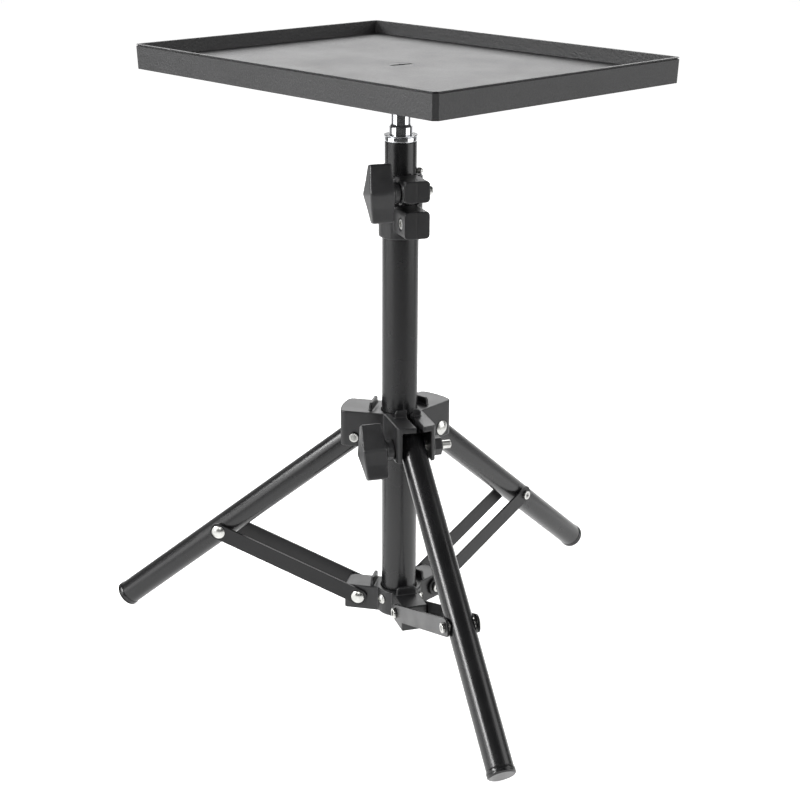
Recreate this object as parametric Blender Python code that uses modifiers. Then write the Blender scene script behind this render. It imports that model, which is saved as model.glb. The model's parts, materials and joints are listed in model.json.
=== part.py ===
# Projector tripod stand: a shallow rectangular tray on a telescoping column with three folding legs.
# Metres, +Z up. The origin is on the floor, under the middle of the whole stand's box.
# The tray's long side lies along X. Each leg hangs in a sliding collar and is held by a pair of flat
# strut bars that turn on a fixed hub at the column's foot, so the collar slides up as the legs fold.
import math

import bmesh
import bpy

MM = 0.001

# Clearances
GAP = 0.3 * MM

# Directions about the column, in degrees from +X
LEG_NAMES = ("front", "right", "left")
FRONT_LEG_AZIMUTH = -26.1
CLAMP_AZIMUTH = -24.3

# Column and mast
COLUMN_OD = 25.4 * MM
COLUMN_WALL = 1.0 * MM
COLUMN_TOP_Z = 331.0 * MM
MAST_OD = 22.0 * MM
MAST_WALL = 1.2 * MM
MAST_PROUD = 22.6 * MM
MAST_LENGTH = 295.0 * MM
BUSH_HEIGHT = 5.0 * MM
BUSH_STEM_LENGTH = 14.0 * MM
BUSH_BORE = 12.0 * MM
STOP_AZIMUTH = 46.0
STOP_HEAD_OD = 4.4 * MM
STOP_HEAD_LENGTH = 2.4 * MM
STOP_DOME_HEIGHT = 1.6 * MM
STOP_SHANK = 3.0 * MM
STOP_SHANK_LENGTH = 1.3 * MM

# Spigot on the mast's top, and the pressed ring under its flange
END_RING_HEIGHT = 3.2 * MM
SPIGOT_FLANGE_OD = 23.2 * MM
SPIGOT_FLANGE_HEIGHT = 0.8 * MM
SPIGOT_STEM_LENGTH = 26.0 * MM
SPIGOT_OD = 15.9 * MM
SPIGOT_BASE_HEIGHT = 5.3 * MM
SPIGOT_NECK_OD = 13.1 * MM
SPIGOT_NECK_HEIGHT = 11.5 * MM
SPIGOT_TAPER = 1.7 * MM
SPIGOT_HEAD_HEIGHT = 9.0 * MM
SPIGOT_CHAMFER = 0.7 * MM
SPIGOT_HOLE_DEPTH = 16.0 * MM

# Tray
TRAY_LENGTH = 290.0 * MM
TRAY_WIDTH = 224.5 * MM
TRAY_HEIGHT = 16.6 * MM
TRAY_WALL = 2.6 * MM
TRAY_RISE = 4.7 * MM
TRAY_DRAFT = 0.5 * MM
TRAY_CORNER = 4.0 * MM
TRAY_EDGE = 1.2 * MM
TRAY_BOSS_OD = 30.0 * MM
TRAY_BOSS_HEIGHT = 9.5 * MM
TRAY_RIB_LENGTH = 42.0 * MM
TRAY_RIB_THICKNESS = 2.4 * MM
TRAY_RIB_COUNT = 8
TRAY_SCREW_HEAD = 17.0 * MM
TRAY_SCREW_HEAD_HEIGHT = 1.8 * MM
TRAY_SCREW_SHANK = 6.3 * MM
TRAY_SCREW_SLOT = 2.4 * MM
TRAY_SCREW_SLOT_DEPTH = 0.9 * MM
TRAY_SCREW_SOCKET = 5.0 * MM
TRAY_SCREW_TURN = 79.0
TRAY_SCREW_RECESS = 2.2 * MM

# Upper clamp, a split moulding on the column's top
CLAMP_OD = 30.4 * MM
CLAMP_RISE = 16.3 * MM
CLAMP_HEIGHT = 42.8 * MM
CLAMP_LUG_REACH = 34.3 * MM
CLAMP_LUG_WIDTH = 18.0 * MM
CLAMP_LUG_ROUND = 2.6 * MM
CLAMP_LUG_RISE = 1.4 * MM
CLAMP_LUG_LIFT = 5.0 * MM
CLAMP_NOTCH_DROP = 19.1 * MM
CLAMP_NOTCH_HEIGHT = 5.8 * MM
CLAMP_SLIT = 0.6 * MM
CLAMP_BOSS_OD = 17.6 * MM
CLAMP_BOSS_HEIGHT = 1.3 * MM
CLAMP_BOLT_RADIUS_OUT = 24.5 * MM
CLAMP_BOLT_DROP = 7.1 * MM
BAND_SCREW_LIFT = 14.0 * MM
BAND_SCREW_HEAD = 7.6 * MM
BAND_SCREW_HEAD_HEIGHT = 2.6 * MM
BAND_SCREW_SHANK = 4.0 * MM
BAND_SCREW_RECESS = 3.4 * MM
BAND_NUT_WIDTH = 7.0 * MM
BAND_NUT_HEIGHT = 3.0 * MM

# Clamping knobs and their bolts
KNOB_HALF_LENGTH = 19.6 * MM
KNOB_HALF_WIDTH = 9.2 * MM
KNOB_TIP_HALF_WIDTH = 2.8 * MM
KNOB_WAIST = 0.6 * MM
KNOB_THICKNESS = 15.0 * MM
KNOB_CROWN = 2.6 * MM
KNOB_ROUND = 0.9 * MM
KNOB_NECK_OD = 14.5 * MM
KNOB_BORE_DEPTH = 16.0 * MM
UPPER_NECK_LENGTH = 4.3 * MM
LOWER_NECK_LENGTH = 5.8 * MM
UPPER_KNOB_TURN = -9.0
LOWER_KNOB_TURN = -27.0
BOLT_OD = 6.0 * MM
BOLT_CHAMFER = 0.6 * MM
KNOB_NUT_WIDTH = 9.2 * MM
KNOB_NUT_HEIGHT = 4.2 * MM
UPPER_BOLT_PROUD = 2.2 * MM
LOWER_BOLT_PROUD = 7.6 * MM

# Leg collar, three hollow arms round the column, the front one split for clamping
COLLAR_ARM_REACH = 42.2 * MM
COLLAR_ARM_WIDTH = 28.6 * MM
COLLAR_ARM_ROUND = 4.0 * MM
COLLAR_TOP_ABOVE_HINGE = 19.2 * MM
COLLAR_BOTTOM_BELOW_HINGE = 7.3 * MM
COLLAR_PLATE = 4.2 * MM
COLLAR_SIDE_WALL = 3.8 * MM
COLLAR_RING_WALL = 4.6 * MM
COLLAR_EDGE = 0.7 * MM
COLLAR_SPLIT = 4.8 * MM
COLLAR_SPLIT_OFFSET = 1.6 * MM
LIP_RADIUS = 18.0 * MM
LIP_THICKNESS = 2.3 * MM
LIP_WIDTH = 19.0 * MM
LIP_HEIGHT = 5.5 * MM
LIP_CORNER = 1.6 * MM
COLLAR_BOSS_OD = 12.8 * MM
COLLAR_BOSS_HEIGHT = 6.4 * MM

# Legs
LEG_OD = 18.4 * MM
LEG_WALL = 1.0 * MM
LEG_LENGTH = 240.8 * MM
LEG_SLOPE = 39.2
LEG_HINGE_RADIUS = 29.8 * MM
LEG_TOP_OVERRUN = 6.0 * MM
LEG_PIVOT_DISTANCE = 136.5 * MM
LEG_SLEEVE_OD = 8.0 * MM
LEG_SLEEVE_BORE = 6.2 * MM
LEG_PLUG_LENGTH = 20.0 * MM
LEG_PLUG_HEAD = 1.4 * MM
FOOT_OD = 19.2 * MM
FOOT_LENGTH = 13.0 * MM
FOOT_CHAMFER = 0.9 * MM
FOOT_STEM_LENGTH = 14.0 * MM

# Lower hub
HUB_PIVOT_RADIUS = 28.65 * MM
HUB_PIVOT_Z = 31.2 * MM
HUB_ARM_REACH = 39.0 * MM
HUB_ARM_WIDTH = 19.4 * MM
HUB_ARM_BOTTOM_Z = 20.8 * MM
HUB_TOP_Z = 40.0 * MM
HUB_ARM_DROP = 0.2 * MM
HUB_RING_OD = 33.6 * MM
HUB_RING_BOTTOM_Z = 20.2 * MM
HUB_RING_TAPER = 1.5 * MM
HUB_LEDGE_Z = 24.0 * MM
HUB_EDGE = 0.6 * MM
HUB_LIP_RADIUS = 17.4 * MM
HUB_LIP_WIDTH = 15.0 * MM
HUB_LIP_HEIGHT = 6.0 * MM
HUB_SCREW_TURN = 54.0
HUB_SCREW_Z = 32.5 * MM
HUB_SCREW_HEAD = 7.2 * MM
HUB_SCREW_HEAD_HEIGHT = 1.7 * MM
HUB_SCREW_SHANK = 3.0 * MM
HUB_SCREW_DEPTH = 2.4 * MM
HUB_SCREW_SOCKET = 3.0 * MM
PLUG_HEAD_OD = 22.0 * MM
PLUG_HEAD_HEIGHT = 2.4 * MM
PLUG_STEM_OD = 17.4 * MM
PLUG_STEM_LENGTH = 3.4 * MM

# Strut bars and the pins that hold them
STRUT_WIDTH = 12.3 * MM
STRUT_THICKNESS = 1.6 * MM
PIN_OD = 6.0 * MM
DOME_OD = 10.0 * MM
DOME_HEIGHT = 1.9 * MM
SOCKET_HEAD_OD = 7.8 * MM
HINGE_DOME_OD = 11.0 * MM
HINGE_HEAD_OD = 6.6 * MM
STRUT_HEAD_OD = 6.8 * MM
SOCKET_HEAD_HEIGHT = 1.8 * MM
SOCKET_WIDTH = 4.0 * MM
STRUT_SOCKET_WIDTH = 3.2 * MM
SOCKET_DEPTH = 1.1 * MM
SOCKET_CHAMFER = 0.5 * MM

# Facets
TUBE_SEGMENTS = 32
TURNED_SEGMENTS = 26
LEG_SEGMENTS = 24
PIN_SEGMENTS = 16
HOLE_SEGMENTS = 12

# Sizes that follow from those above
SLOPE = math.radians(LEG_SLOPE)
FOOT_DROP = FOOT_OD / 2 * math.cos(SLOPE) - FOOT_CHAMFER * math.sin(SLOPE)
HINGE_Z = LEG_LENGTH * math.sin(SLOPE) + FOOT_DROP
LEG_PIVOT_RADIUS = LEG_HINGE_RADIUS + LEG_PIVOT_DISTANCE * math.cos(SLOPE)
LEG_PIVOT_Z = HINGE_Z - LEG_PIVOT_DISTANCE * math.sin(SLOPE)
STRUT_LENGTH = math.hypot(LEG_PIVOT_RADIUS - HUB_PIVOT_RADIUS, LEG_PIVOT_Z - HUB_PIVOT_Z)
STRUT_SLOPE = math.atan2(LEG_PIVOT_Z - HUB_PIVOT_Z, LEG_PIVOT_RADIUS - HUB_PIVOT_RADIUS)
STRUT_INNER_FACE = HUB_ARM_WIDTH / 2 + GAP
STRUT_OUTER_FACE = STRUT_INNER_FACE + STRUT_THICKNESS
COLLAR_HALF_WIDTH = COLLAR_ARM_WIDTH / 2
CLAMP_FACE = CLAMP_LUG_WIDTH / 2
CLAMP_TOP_Z = COLUMN_TOP_Z + CLAMP_RISE
CLAMP_BOTTOM_Z = CLAMP_TOP_Z - CLAMP_HEIGHT
CLAMP_LUG_BOTTOM_Z = CLAMP_BOTTOM_Z + CLAMP_LUG_LIFT
CLAMP_NOTCH_BOTTOM_Z = CLAMP_TOP_Z - CLAMP_NOTCH_DROP
CLAMP_BOLT_Z = CLAMP_TOP_Z - CLAMP_BOLT_DROP
BAND_SCREW_Z = CLAMP_BOTTOM_Z + BAND_SCREW_LIFT
MAST_TOP_Z = CLAMP_TOP_Z + MAST_PROUD
RING_TOP_Z = MAST_TOP_Z + GAP + END_RING_HEIGHT
SPIGOT_BASE_Z = RING_TOP_Z + GAP + SPIGOT_FLANGE_HEIGHT
SPIGOT_HEIGHT = SPIGOT_BASE_HEIGHT + 2 * SPIGOT_TAPER + SPIGOT_NECK_HEIGHT + SPIGOT_HEAD_HEIGHT
SPIGOT_TOP_Z = SPIGOT_BASE_Z + SPIGOT_HEIGHT
TRAY_BOTTOM_Z = SPIGOT_TOP_Z + GAP + TRAY_BOSS_HEIGHT
TRAY_FLOOR_Z = TRAY_BOTTOM_Z + TRAY_RISE + TRAY_WALL
LEG_AZIMUTHS = [math.radians(FRONT_LEG_AZIMUTH + 120 * k) for k in range(3)]

# Rotations that lay a piece made along Z along its frame's Y, or down a leg's X
ALONG_Y = (-math.pi / 2, 0, 0)
AGAINST_Y = (math.pi / 2, 0, 0)
ALONG_X = (0, math.pi / 2, 0)


def foot_extent(azimuth):
    """Lowest and highest x and y that a leg's foot rim reaches, from the column's axis."""
    along = LEG_LENGTH - FOOT_CHAMFER
    radius = FOOT_OD / 2
    x, y = ((LEG_HINGE_RADIUS + along * math.cos(SLOPE)) * f(azimuth) for f in (math.cos, math.sin))
    reach_x = radius * math.sqrt(1 - (math.cos(SLOPE) * math.cos(azimuth)) ** 2)
    reach_y = radius * math.sqrt(1 - (math.cos(SLOPE) * math.sin(azimuth)) ** 2)
    return x - reach_x, x + reach_x, y - reach_y, y + reach_y


def axis_place():
    """Where the column's axis stands, so that the whole stand's box is centred on the origin."""
    feet = [foot_extent(azimuth) for azimuth in LEG_AZIMUTHS]
    low_x = min([foot[0] for foot in feet] + [-TRAY_LENGTH / 2])
    high_x = max([foot[1] for foot in feet] + [TRAY_LENGTH / 2])
    low_y = min([foot[2] for foot in feet] + [-TRAY_WIDTH / 2])
    high_y = max([foot[3] for foot in feet] + [TRAY_WIDTH / 2])
    return -(low_x + high_x) / 2, -(low_y + high_y) / 2, 0


def clear_scene():
    for obj in list(bpy.data.objects):
        bpy.data.objects.remove(obj, do_unlink=True)


def new_collection(name):
    collection = bpy.data.collections.new(name)
    bpy.context.scene.collection.children.link(collection)
    return collection


clear_scene()
STAND = new_collection("projector_tripod_stand")
CUTTERS = new_collection("cutters")
CUTTERS.hide_render = True


def material(name, colour, roughness, metallic):
    made = bpy.data.materials.new(name)
    made.use_nodes = True
    shader = made.node_tree.nodes["Principled BSDF"]
    shader.inputs["Base Color"].default_value = (*colour, 1)
    shader.inputs["Roughness"].default_value = roughness
    shader.inputs["Metallic"].default_value = metallic
    made.diffuse_color = (*colour, 1)
    return made


def frame(name, parent=None, location=(0, 0, 0), rotation=(0, 0, 0)):
    """An empty that carries pieces: on a joint's axis where they move."""
    empty = bpy.data.objects.new(name, None)
    empty.empty_display_size = 0.02
    STAND.objects.link(empty)
    empty.parent = parent
    empty.location = location
    empty.rotation_euler = rotation
    return empty


def place(obj, parent, location=(0, 0, 0), rotation=(0, 0, 0)):
    obj.parent = parent
    obj.location = location
    obj.rotation_euler = rotation
    return obj


def mesh_object(name, bm):
    mesh = bpy.data.meshes.new(name)
    bmesh.ops.recalc_face_normals(bm, faces=bm.faces)
    bm.to_mesh(mesh)
    bm.free()
    obj = bpy.data.objects.new(name, mesh)
    STAND.objects.link(obj)
    return obj


def turned(name, profile, segments, closed=False):
    """A body of revolution about Z. The profile holds (radius, height) pairs, down its outer side."""
    mesh = bpy.data.meshes.new(name)
    edges = [(k, k + 1) for k in range(len(profile) - 1)]
    if closed:
        edges.append((len(profile) - 1, 0))
    mesh.from_pydata([(radius, 0, height) for radius, height in profile], edges, [])
    obj = bpy.data.objects.new(name, mesh)
    STAND.objects.link(obj)
    screw = obj.modifiers.new("Turn", "SCREW")
    screw.axis = "Z"
    screw.angle = 2 * math.pi
    screw.steps = segments
    screw.render_steps = segments
    screw.use_merge_vertices = True
    screw.merge_threshold = 0.00001
    return obj


def tube(name, outer, inner, low, high, segments):
    """A straight pipe about Z between two heights; outer and inner are diameters."""
    profile = [(outer / 2, high), (outer / 2, low), (inner / 2, low), (inner / 2, high)]
    return turned(name, profile, segments, closed=True)


def cylinder(name, diameter, length, segments=HOLE_SEGMENTS):
    """A plain cylinder about Z, centred."""
    bm = bmesh.new()
    bmesh.ops.create_cone(
        bm, cap_ends=True, segments=segments, radius1=diameter / 2, radius2=diameter / 2, depth=length
    )
    return mesh_object(name, bm)


def block(name, low, high, rounded_along=None, rounding=0.0, segments=3):
    """A box between two corners; the edges along one axis may be rounded."""
    bm = bmesh.new()
    bmesh.ops.create_cube(bm, size=1)
    for vert in bm.verts:
        for k in range(3):
            vert.co[k] = low[k] + (vert.co[k] + 0.5) * (high[k] - low[k])
    if rounded_along is not None:
        others = [k for k in range(3) if k != rounded_along]
        edges = [
            edge for edge in bm.edges
            if all(abs(edge.verts[0].co[k] - edge.verts[1].co[k]) < 1e-9 for k in others)
        ]
        bmesh.ops.bevel(bm, geom=edges, offset=rounding, segments=segments, affect="EDGES", profile=0.5)
    return mesh_object(name, bm)


def prism(name, outlines, thickness):
    """Flat outlines in XY, the later ones holes in the first, extruded to a plate centred on Z = 0."""
    curve = bpy.data.curves.new(name + "_outline", "CURVE")
    curve.dimensions = "2D"
    curve.fill_mode = "BOTH"
    curve.extrude = thickness / 2
    for outline in outlines:
        spline = curve.splines.new("POLY")
        spline.points.add(len(outline) - 1)
        for point, (x, y) in zip(spline.points, outline):
            point.co = (x, y, 0, 1)
        spline.use_cyclic_u = True
    guide = bpy.data.objects.new(name + "_outline", curve)
    STAND.objects.link(guide)
    bpy.context.view_layer.update()
    graph = bpy.context.evaluated_depsgraph_get()
    mesh = bpy.data.meshes.new_from_object(guide.evaluated_get(graph))
    bpy.data.objects.remove(guide)
    bm = bmesh.new()
    bm.from_mesh(mesh)
    bmesh.ops.remove_doubles(bm, verts=bm.verts, dist=0.00001)
    bm.to_mesh(mesh)
    bm.free()
    mesh.name = name
    obj = bpy.data.objects.new(name, mesh)
    STAND.objects.link(obj)
    return obj


def arc(centre, radius, start, end, count):
    """Points along an arc, from one angle to another in degrees, both ends included."""
    angles = [math.radians(start + (end - start) * k / count) for k in range(count + 1)]
    return [(centre[0] + radius * math.cos(a), centre[1] + radius * math.sin(a)) for a in angles]


def hexagon(width):
    """A hexagon's corners, from its width across flats."""
    return arc((0, 0), width / math.sqrt(3), 0, 300, 5)


def round_edges(obj, width, segments=2, angle=40):
    bevel = obj.modifiers.new("Round", "BEVEL")
    bevel.width = width
    bevel.segments = segments
    bevel.limit_method = "ANGLE"
    bevel.angle_limit = math.radians(angle)


def shape(target, other, operation):
    """Cuts the other object from the target, or joins it to the target, and hides it."""
    boolean = target.modifiers.new(other.name, "BOOLEAN")
    boolean.operation = operation
    boolean.solver = "EXACT"
    boolean.object = other
    other.hide_render = True
    other.display_type = "WIRE"
    for collection in list(other.users_collection):
        collection.objects.unlink(other)
    CUTTERS.objects.link(other)


def cut(target, other):
    shape(target, other, "DIFFERENCE")


def join(target, other):
    shape(target, other, "UNION")


def dome(radius, height, base, steps=3):
    """(radius, height) pairs of a shallow dome over a base height, from its top to its rim."""
    ball = (radius ** 2 + height ** 2) / (2 * height)
    rim = math.asin(radius / ball)
    angles = [rim * k / steps for k in range(steps + 1)]
    return [(ball * math.sin(a), base + height - ball + ball * math.cos(a)) for a in angles]


def hex_socket(target, parent, location, rotation, width, depth):
    """Cuts a hexagonal socket into the end of a fastener; the location is the middle of that end."""
    socket = prism(target.name + "_socket", [hexagon(width)], 2 * depth)
    place(socket, parent, location, rotation)
    cut(target, socket)


BLACK_PAINT = material("black_painted_steel", (0.022, 0.022, 0.023), 0.38, 0.0)
BLACK_PLASTIC = material("black_nylon", (0.024, 0.024, 0.025), 0.5, 0.0)
TRAY_PLASTIC = material("black_textured_abs", (0.032, 0.032, 0.033), 0.6, 0.0)
CHROME = material("polished_chrome", (0.75, 0.75, 0.76), 0.12, 1.0)
ZINC = material("bright_zinc", (0.66, 0.66, 0.65), 0.3, 1.0)


def finish(obj, colour):
    """Gives a finished piece its own material, named for it, and smooth shading on its round faces."""
    own = colour.copy()
    own.name = obj.name + "_" + colour.name
    obj.data.materials.clear()
    obj.data.materials.append(own)
    obj.data.shade_smooth()
    obj.data.set_sharp_from_angle(angle=math.radians(35))
    return obj


# Column and mast


def outer_tube(axis):
    inner = COLUMN_OD - 2 * COLUMN_WALL
    obj = tube("outer_tube", COLUMN_OD, inner, HUB_LEDGE_Z + GAP, COLUMN_TOP_Z, TUBE_SEGMENTS)
    return finish(place(obj, axis), BLACK_PAINT)


def stop_frame(mast):
    """The frame of the mast's stop, which points along its X and rests on the clamp's top."""
    height = CLAMP_TOP_Z + GAP + STOP_HEAD_OD / 2
    return frame("stop_frame", mast, (0, 0, height), (0, 0, math.radians(STOP_AZIMUTH)))


def inner_tube(mast, stop):
    inner = MAST_OD - 2 * MAST_WALL
    obj = tube("inner_tube", MAST_OD, inner, MAST_TOP_Z - MAST_LENGTH, MAST_TOP_Z, TUBE_SEGMENTS)
    hole = cylinder("stop_hole", STOP_SHANK + 2 * GAP, MAST_OD / 2)
    cut(obj, place(hole, stop, (MAST_OD / 2, 0, 0), ALONG_X))
    return finish(place(obj, mast), BLACK_PAINT)


def mast_stop(stop):
    """The button on the mast that keeps it from dropping into the column."""
    seat = MAST_OD / 2 + GAP
    base = seat + STOP_HEAD_LENGTH
    low = seat - STOP_SHANK_LENGTH
    radius = STOP_HEAD_OD / 2
    profile = dome(radius, STOP_DOME_HEIGHT, base) + [
        (radius, seat), (STOP_SHANK / 2, seat), (STOP_SHANK / 2, low), (0, low),
    ]
    obj = turned("mast_stop", profile, PIN_SEGMENTS)
    return finish(place(obj, stop, (0, 0, 0), ALONG_X), ZINC)


def guide_bush(mast):
    """The plastic bush in the mast's lower end that keeps it centred in the column."""
    top = MAST_TOP_Z - MAST_LENGTH - GAP
    stem = MAST_OD / 2 - MAST_WALL - GAP
    rim = COLUMN_OD / 2 - COLUMN_WALL - GAP
    profile = [
        (stem, top + BUSH_STEM_LENGTH), (stem, top), (rim, top), (rim, top - BUSH_HEIGHT),
        (BUSH_BORE / 2, top - BUSH_HEIGHT), (BUSH_BORE / 2, top + BUSH_STEM_LENGTH),
    ]
    obj = turned("guide_bush", profile, TURNED_SEGMENTS, closed=True)
    return finish(place(obj, mast), BLACK_PLASTIC)


def mast_end_ring(mast):
    stem = MAST_OD - 2 * MAST_WALL - 2 * GAP
    obj = tube("mast_end_ring", MAST_OD + GAP, stem + 2 * GAP, MAST_TOP_Z + GAP, RING_TOP_Z, TUBE_SEGMENTS)
    return finish(place(obj, mast), CHROME)


def spigot(mast):
    """The turned steel spigot: a stem in the mast, a thin flange, a waisted post and a tapped hole."""
    stem = MAST_OD / 2 - MAST_WALL - GAP
    flange_low = RING_TOP_Z + GAP
    stem_low = flange_low - SPIGOT_STEM_LENGTH
    body = SPIGOT_OD / 2
    neck = SPIGOT_NECK_OD / 2
    neck_low = SPIGOT_BASE_Z + SPIGOT_BASE_HEIGHT + SPIGOT_TAPER
    neck_high = neck_low + SPIGOT_NECK_HEIGHT
    profile = [
        (0, SPIGOT_TOP_Z), (body - SPIGOT_CHAMFER, SPIGOT_TOP_Z), (body, SPIGOT_TOP_Z - SPIGOT_CHAMFER),
        (body, neck_high + SPIGOT_TAPER), (neck, neck_high), (neck, neck_low),
        (body, neck_low - SPIGOT_TAPER), (body, SPIGOT_BASE_Z), (SPIGOT_FLANGE_OD / 2, SPIGOT_BASE_Z),
        (SPIGOT_FLANGE_OD / 2, flange_low), (stem, flange_low), (stem, stem_low), (0, stem_low),
    ]
    obj = turned("spigot", profile, TURNED_SEGMENTS)
    hole = cylinder("spigot_hole", TRAY_SCREW_SHANK + 2 * GAP, 2 * SPIGOT_HOLE_DEPTH)
    cut(obj, place(hole, mast, (0, 0, SPIGOT_TOP_Z)))
    return finish(place(obj, mast), CHROME)


def tray_screw(mast):
    """The screw that holds the tray on the spigot: a slot and a socket in a head sunk in the floor."""
    seat = TRAY_FLOOR_Z - TRAY_SCREW_RECESS + GAP
    top = seat + TRAY_SCREW_HEAD_HEIGHT
    low = SPIGOT_TOP_Z - SPIGOT_HOLE_DEPTH + 2 * MM
    head = TRAY_SCREW_HEAD / 2
    shank = TRAY_SCREW_SHANK / 2
    profile = [
        (0, top), (head - SOCKET_CHAMFER, top), (head, top - SOCKET_CHAMFER), (head, seat),
        (shank, seat), (shank, low + BOLT_CHAMFER), (shank - BOLT_CHAMFER, low), (0, low),
    ]
    obj = turned("tray_screw", profile, PIN_SEGMENTS)
    half = TRAY_SCREW_SLOT / 2
    slot = block(
        "tray_screw_slot", (-head - MM, -half, top - TRAY_SCREW_SLOT_DEPTH), (head + MM, half, top + MM)
    )
    turn = (0, 0, math.radians(TRAY_SCREW_TURN))
    cut(obj, place(slot, mast, (0, 0, 0), turn))
    hex_socket(obj, mast, (0, 0, top), turn, TRAY_SCREW_SOCKET, SOCKET_DEPTH)
    return finish(place(obj, mast), BLACK_PAINT)


def tray_form(name, inset, low, high, corner, edge=0.0):
    """A drafted block with rounded corners, between two heights over the tray's underside.

    It is the tray's outside or, inset by the wall, the hollow above or below the floor.
    """
    bm = bmesh.new()
    bmesh.ops.create_cube(bm, size=1)
    for vert in bm.verts:
        height = high if vert.co.z > 0 else low
        side = inset + TRAY_DRAFT * (1 - height / TRAY_HEIGHT)
        vert.co.x = math.copysign(TRAY_LENGTH / 2 - side, vert.co.x)
        vert.co.y = math.copysign(TRAY_WIDTH / 2 - side, vert.co.y)
        vert.co.z = TRAY_BOTTOM_Z + height
    upright = [e for e in bm.edges if abs(e.verts[0].co.z - e.verts[1].co.z) > (high - low) / 2]
    bmesh.ops.bevel(bm, geom=upright, offset=corner, segments=5, affect="EDGES", profile=0.5)
    if edge:
        bm.normal_update()
        under = [f for f in bm.faces if f.normal.z < -0.9]
        bmesh.ops.bevel(bm, geom=list(under[0].edges), offset=edge, segments=2, affect="EDGES", profile=0.5)
    return mesh_object(name, bm)


def tray(parent):
    """A moulded open tray: drafted walls, a raised floor, and a boss and ribs under its middle."""
    obj = tray_form("tray", 0, 0, TRAY_HEIGHT, TRAY_CORNER, TRAY_EDGE)
    inner_corner = TRAY_CORNER - TRAY_WALL
    above = tray_form("tray_hollow", TRAY_WALL, TRAY_RISE + TRAY_WALL, 2 * TRAY_HEIGHT, inner_corner)
    cut(obj, place(above, parent))
    below = tray_form("tray_underside", TRAY_WALL, -TRAY_HEIGHT, TRAY_RISE, inner_corner)
    cut(obj, place(below, parent))
    overlap = TRAY_WALL / 2
    ribs = [tray_rib(parent, k, overlap) for k in range(TRAY_RIB_COUNT)]
    boss_length = TRAY_BOSS_HEIGHT + TRAY_RISE + overlap
    boss = cylinder("tray_boss", TRAY_BOSS_OD, boss_length, TURNED_SEGMENTS)
    middle = TRAY_BOTTOM_Z - TRAY_BOSS_HEIGHT + boss_length / 2
    join(obj, place(boss, parent, (0, 0, middle)))
    for rib in ribs:
        join(obj, rib)
    recess = cylinder(
        "tray_recess", TRAY_SCREW_HEAD + 2 * GAP, 2 * TRAY_SCREW_RECESS, PIN_SEGMENTS
    )
    cut(obj, place(recess, parent, (0, 0, TRAY_FLOOR_Z)))
    bore = cylinder("tray_bore", TRAY_SCREW_SHANK + 2 * GAP, 4 * TRAY_BOSS_HEIGHT)
    cut(obj, place(bore, parent, (0, 0, TRAY_BOTTOM_Z)))
    return finish(place(obj, parent), TRAY_PLASTIC)


def tray_rib(parent, number, overlap):
    """One stiffening rib under the floor, from inside the boss outwards, tapering to nothing."""
    root = TRAY_BOSS_OD / 4
    top, tip, drop = TRAY_RISE + overlap, TRAY_RISE - MM, TRAY_BOSS_HEIGHT * 0.8
    outline = [(root, top), (TRAY_RIB_LENGTH, top), (TRAY_RIB_LENGTH, tip), (root, -drop)]
    rib = prism("tray_rib_%d" % number, [outline], TRAY_RIB_THICKNESS)
    turn = 2 * math.pi * number / TRAY_RIB_COUNT
    return place(rib, parent, (0, 0, TRAY_BOTTOM_Z), (math.pi / 2, 0, turn))


# Upper clamp


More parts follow.
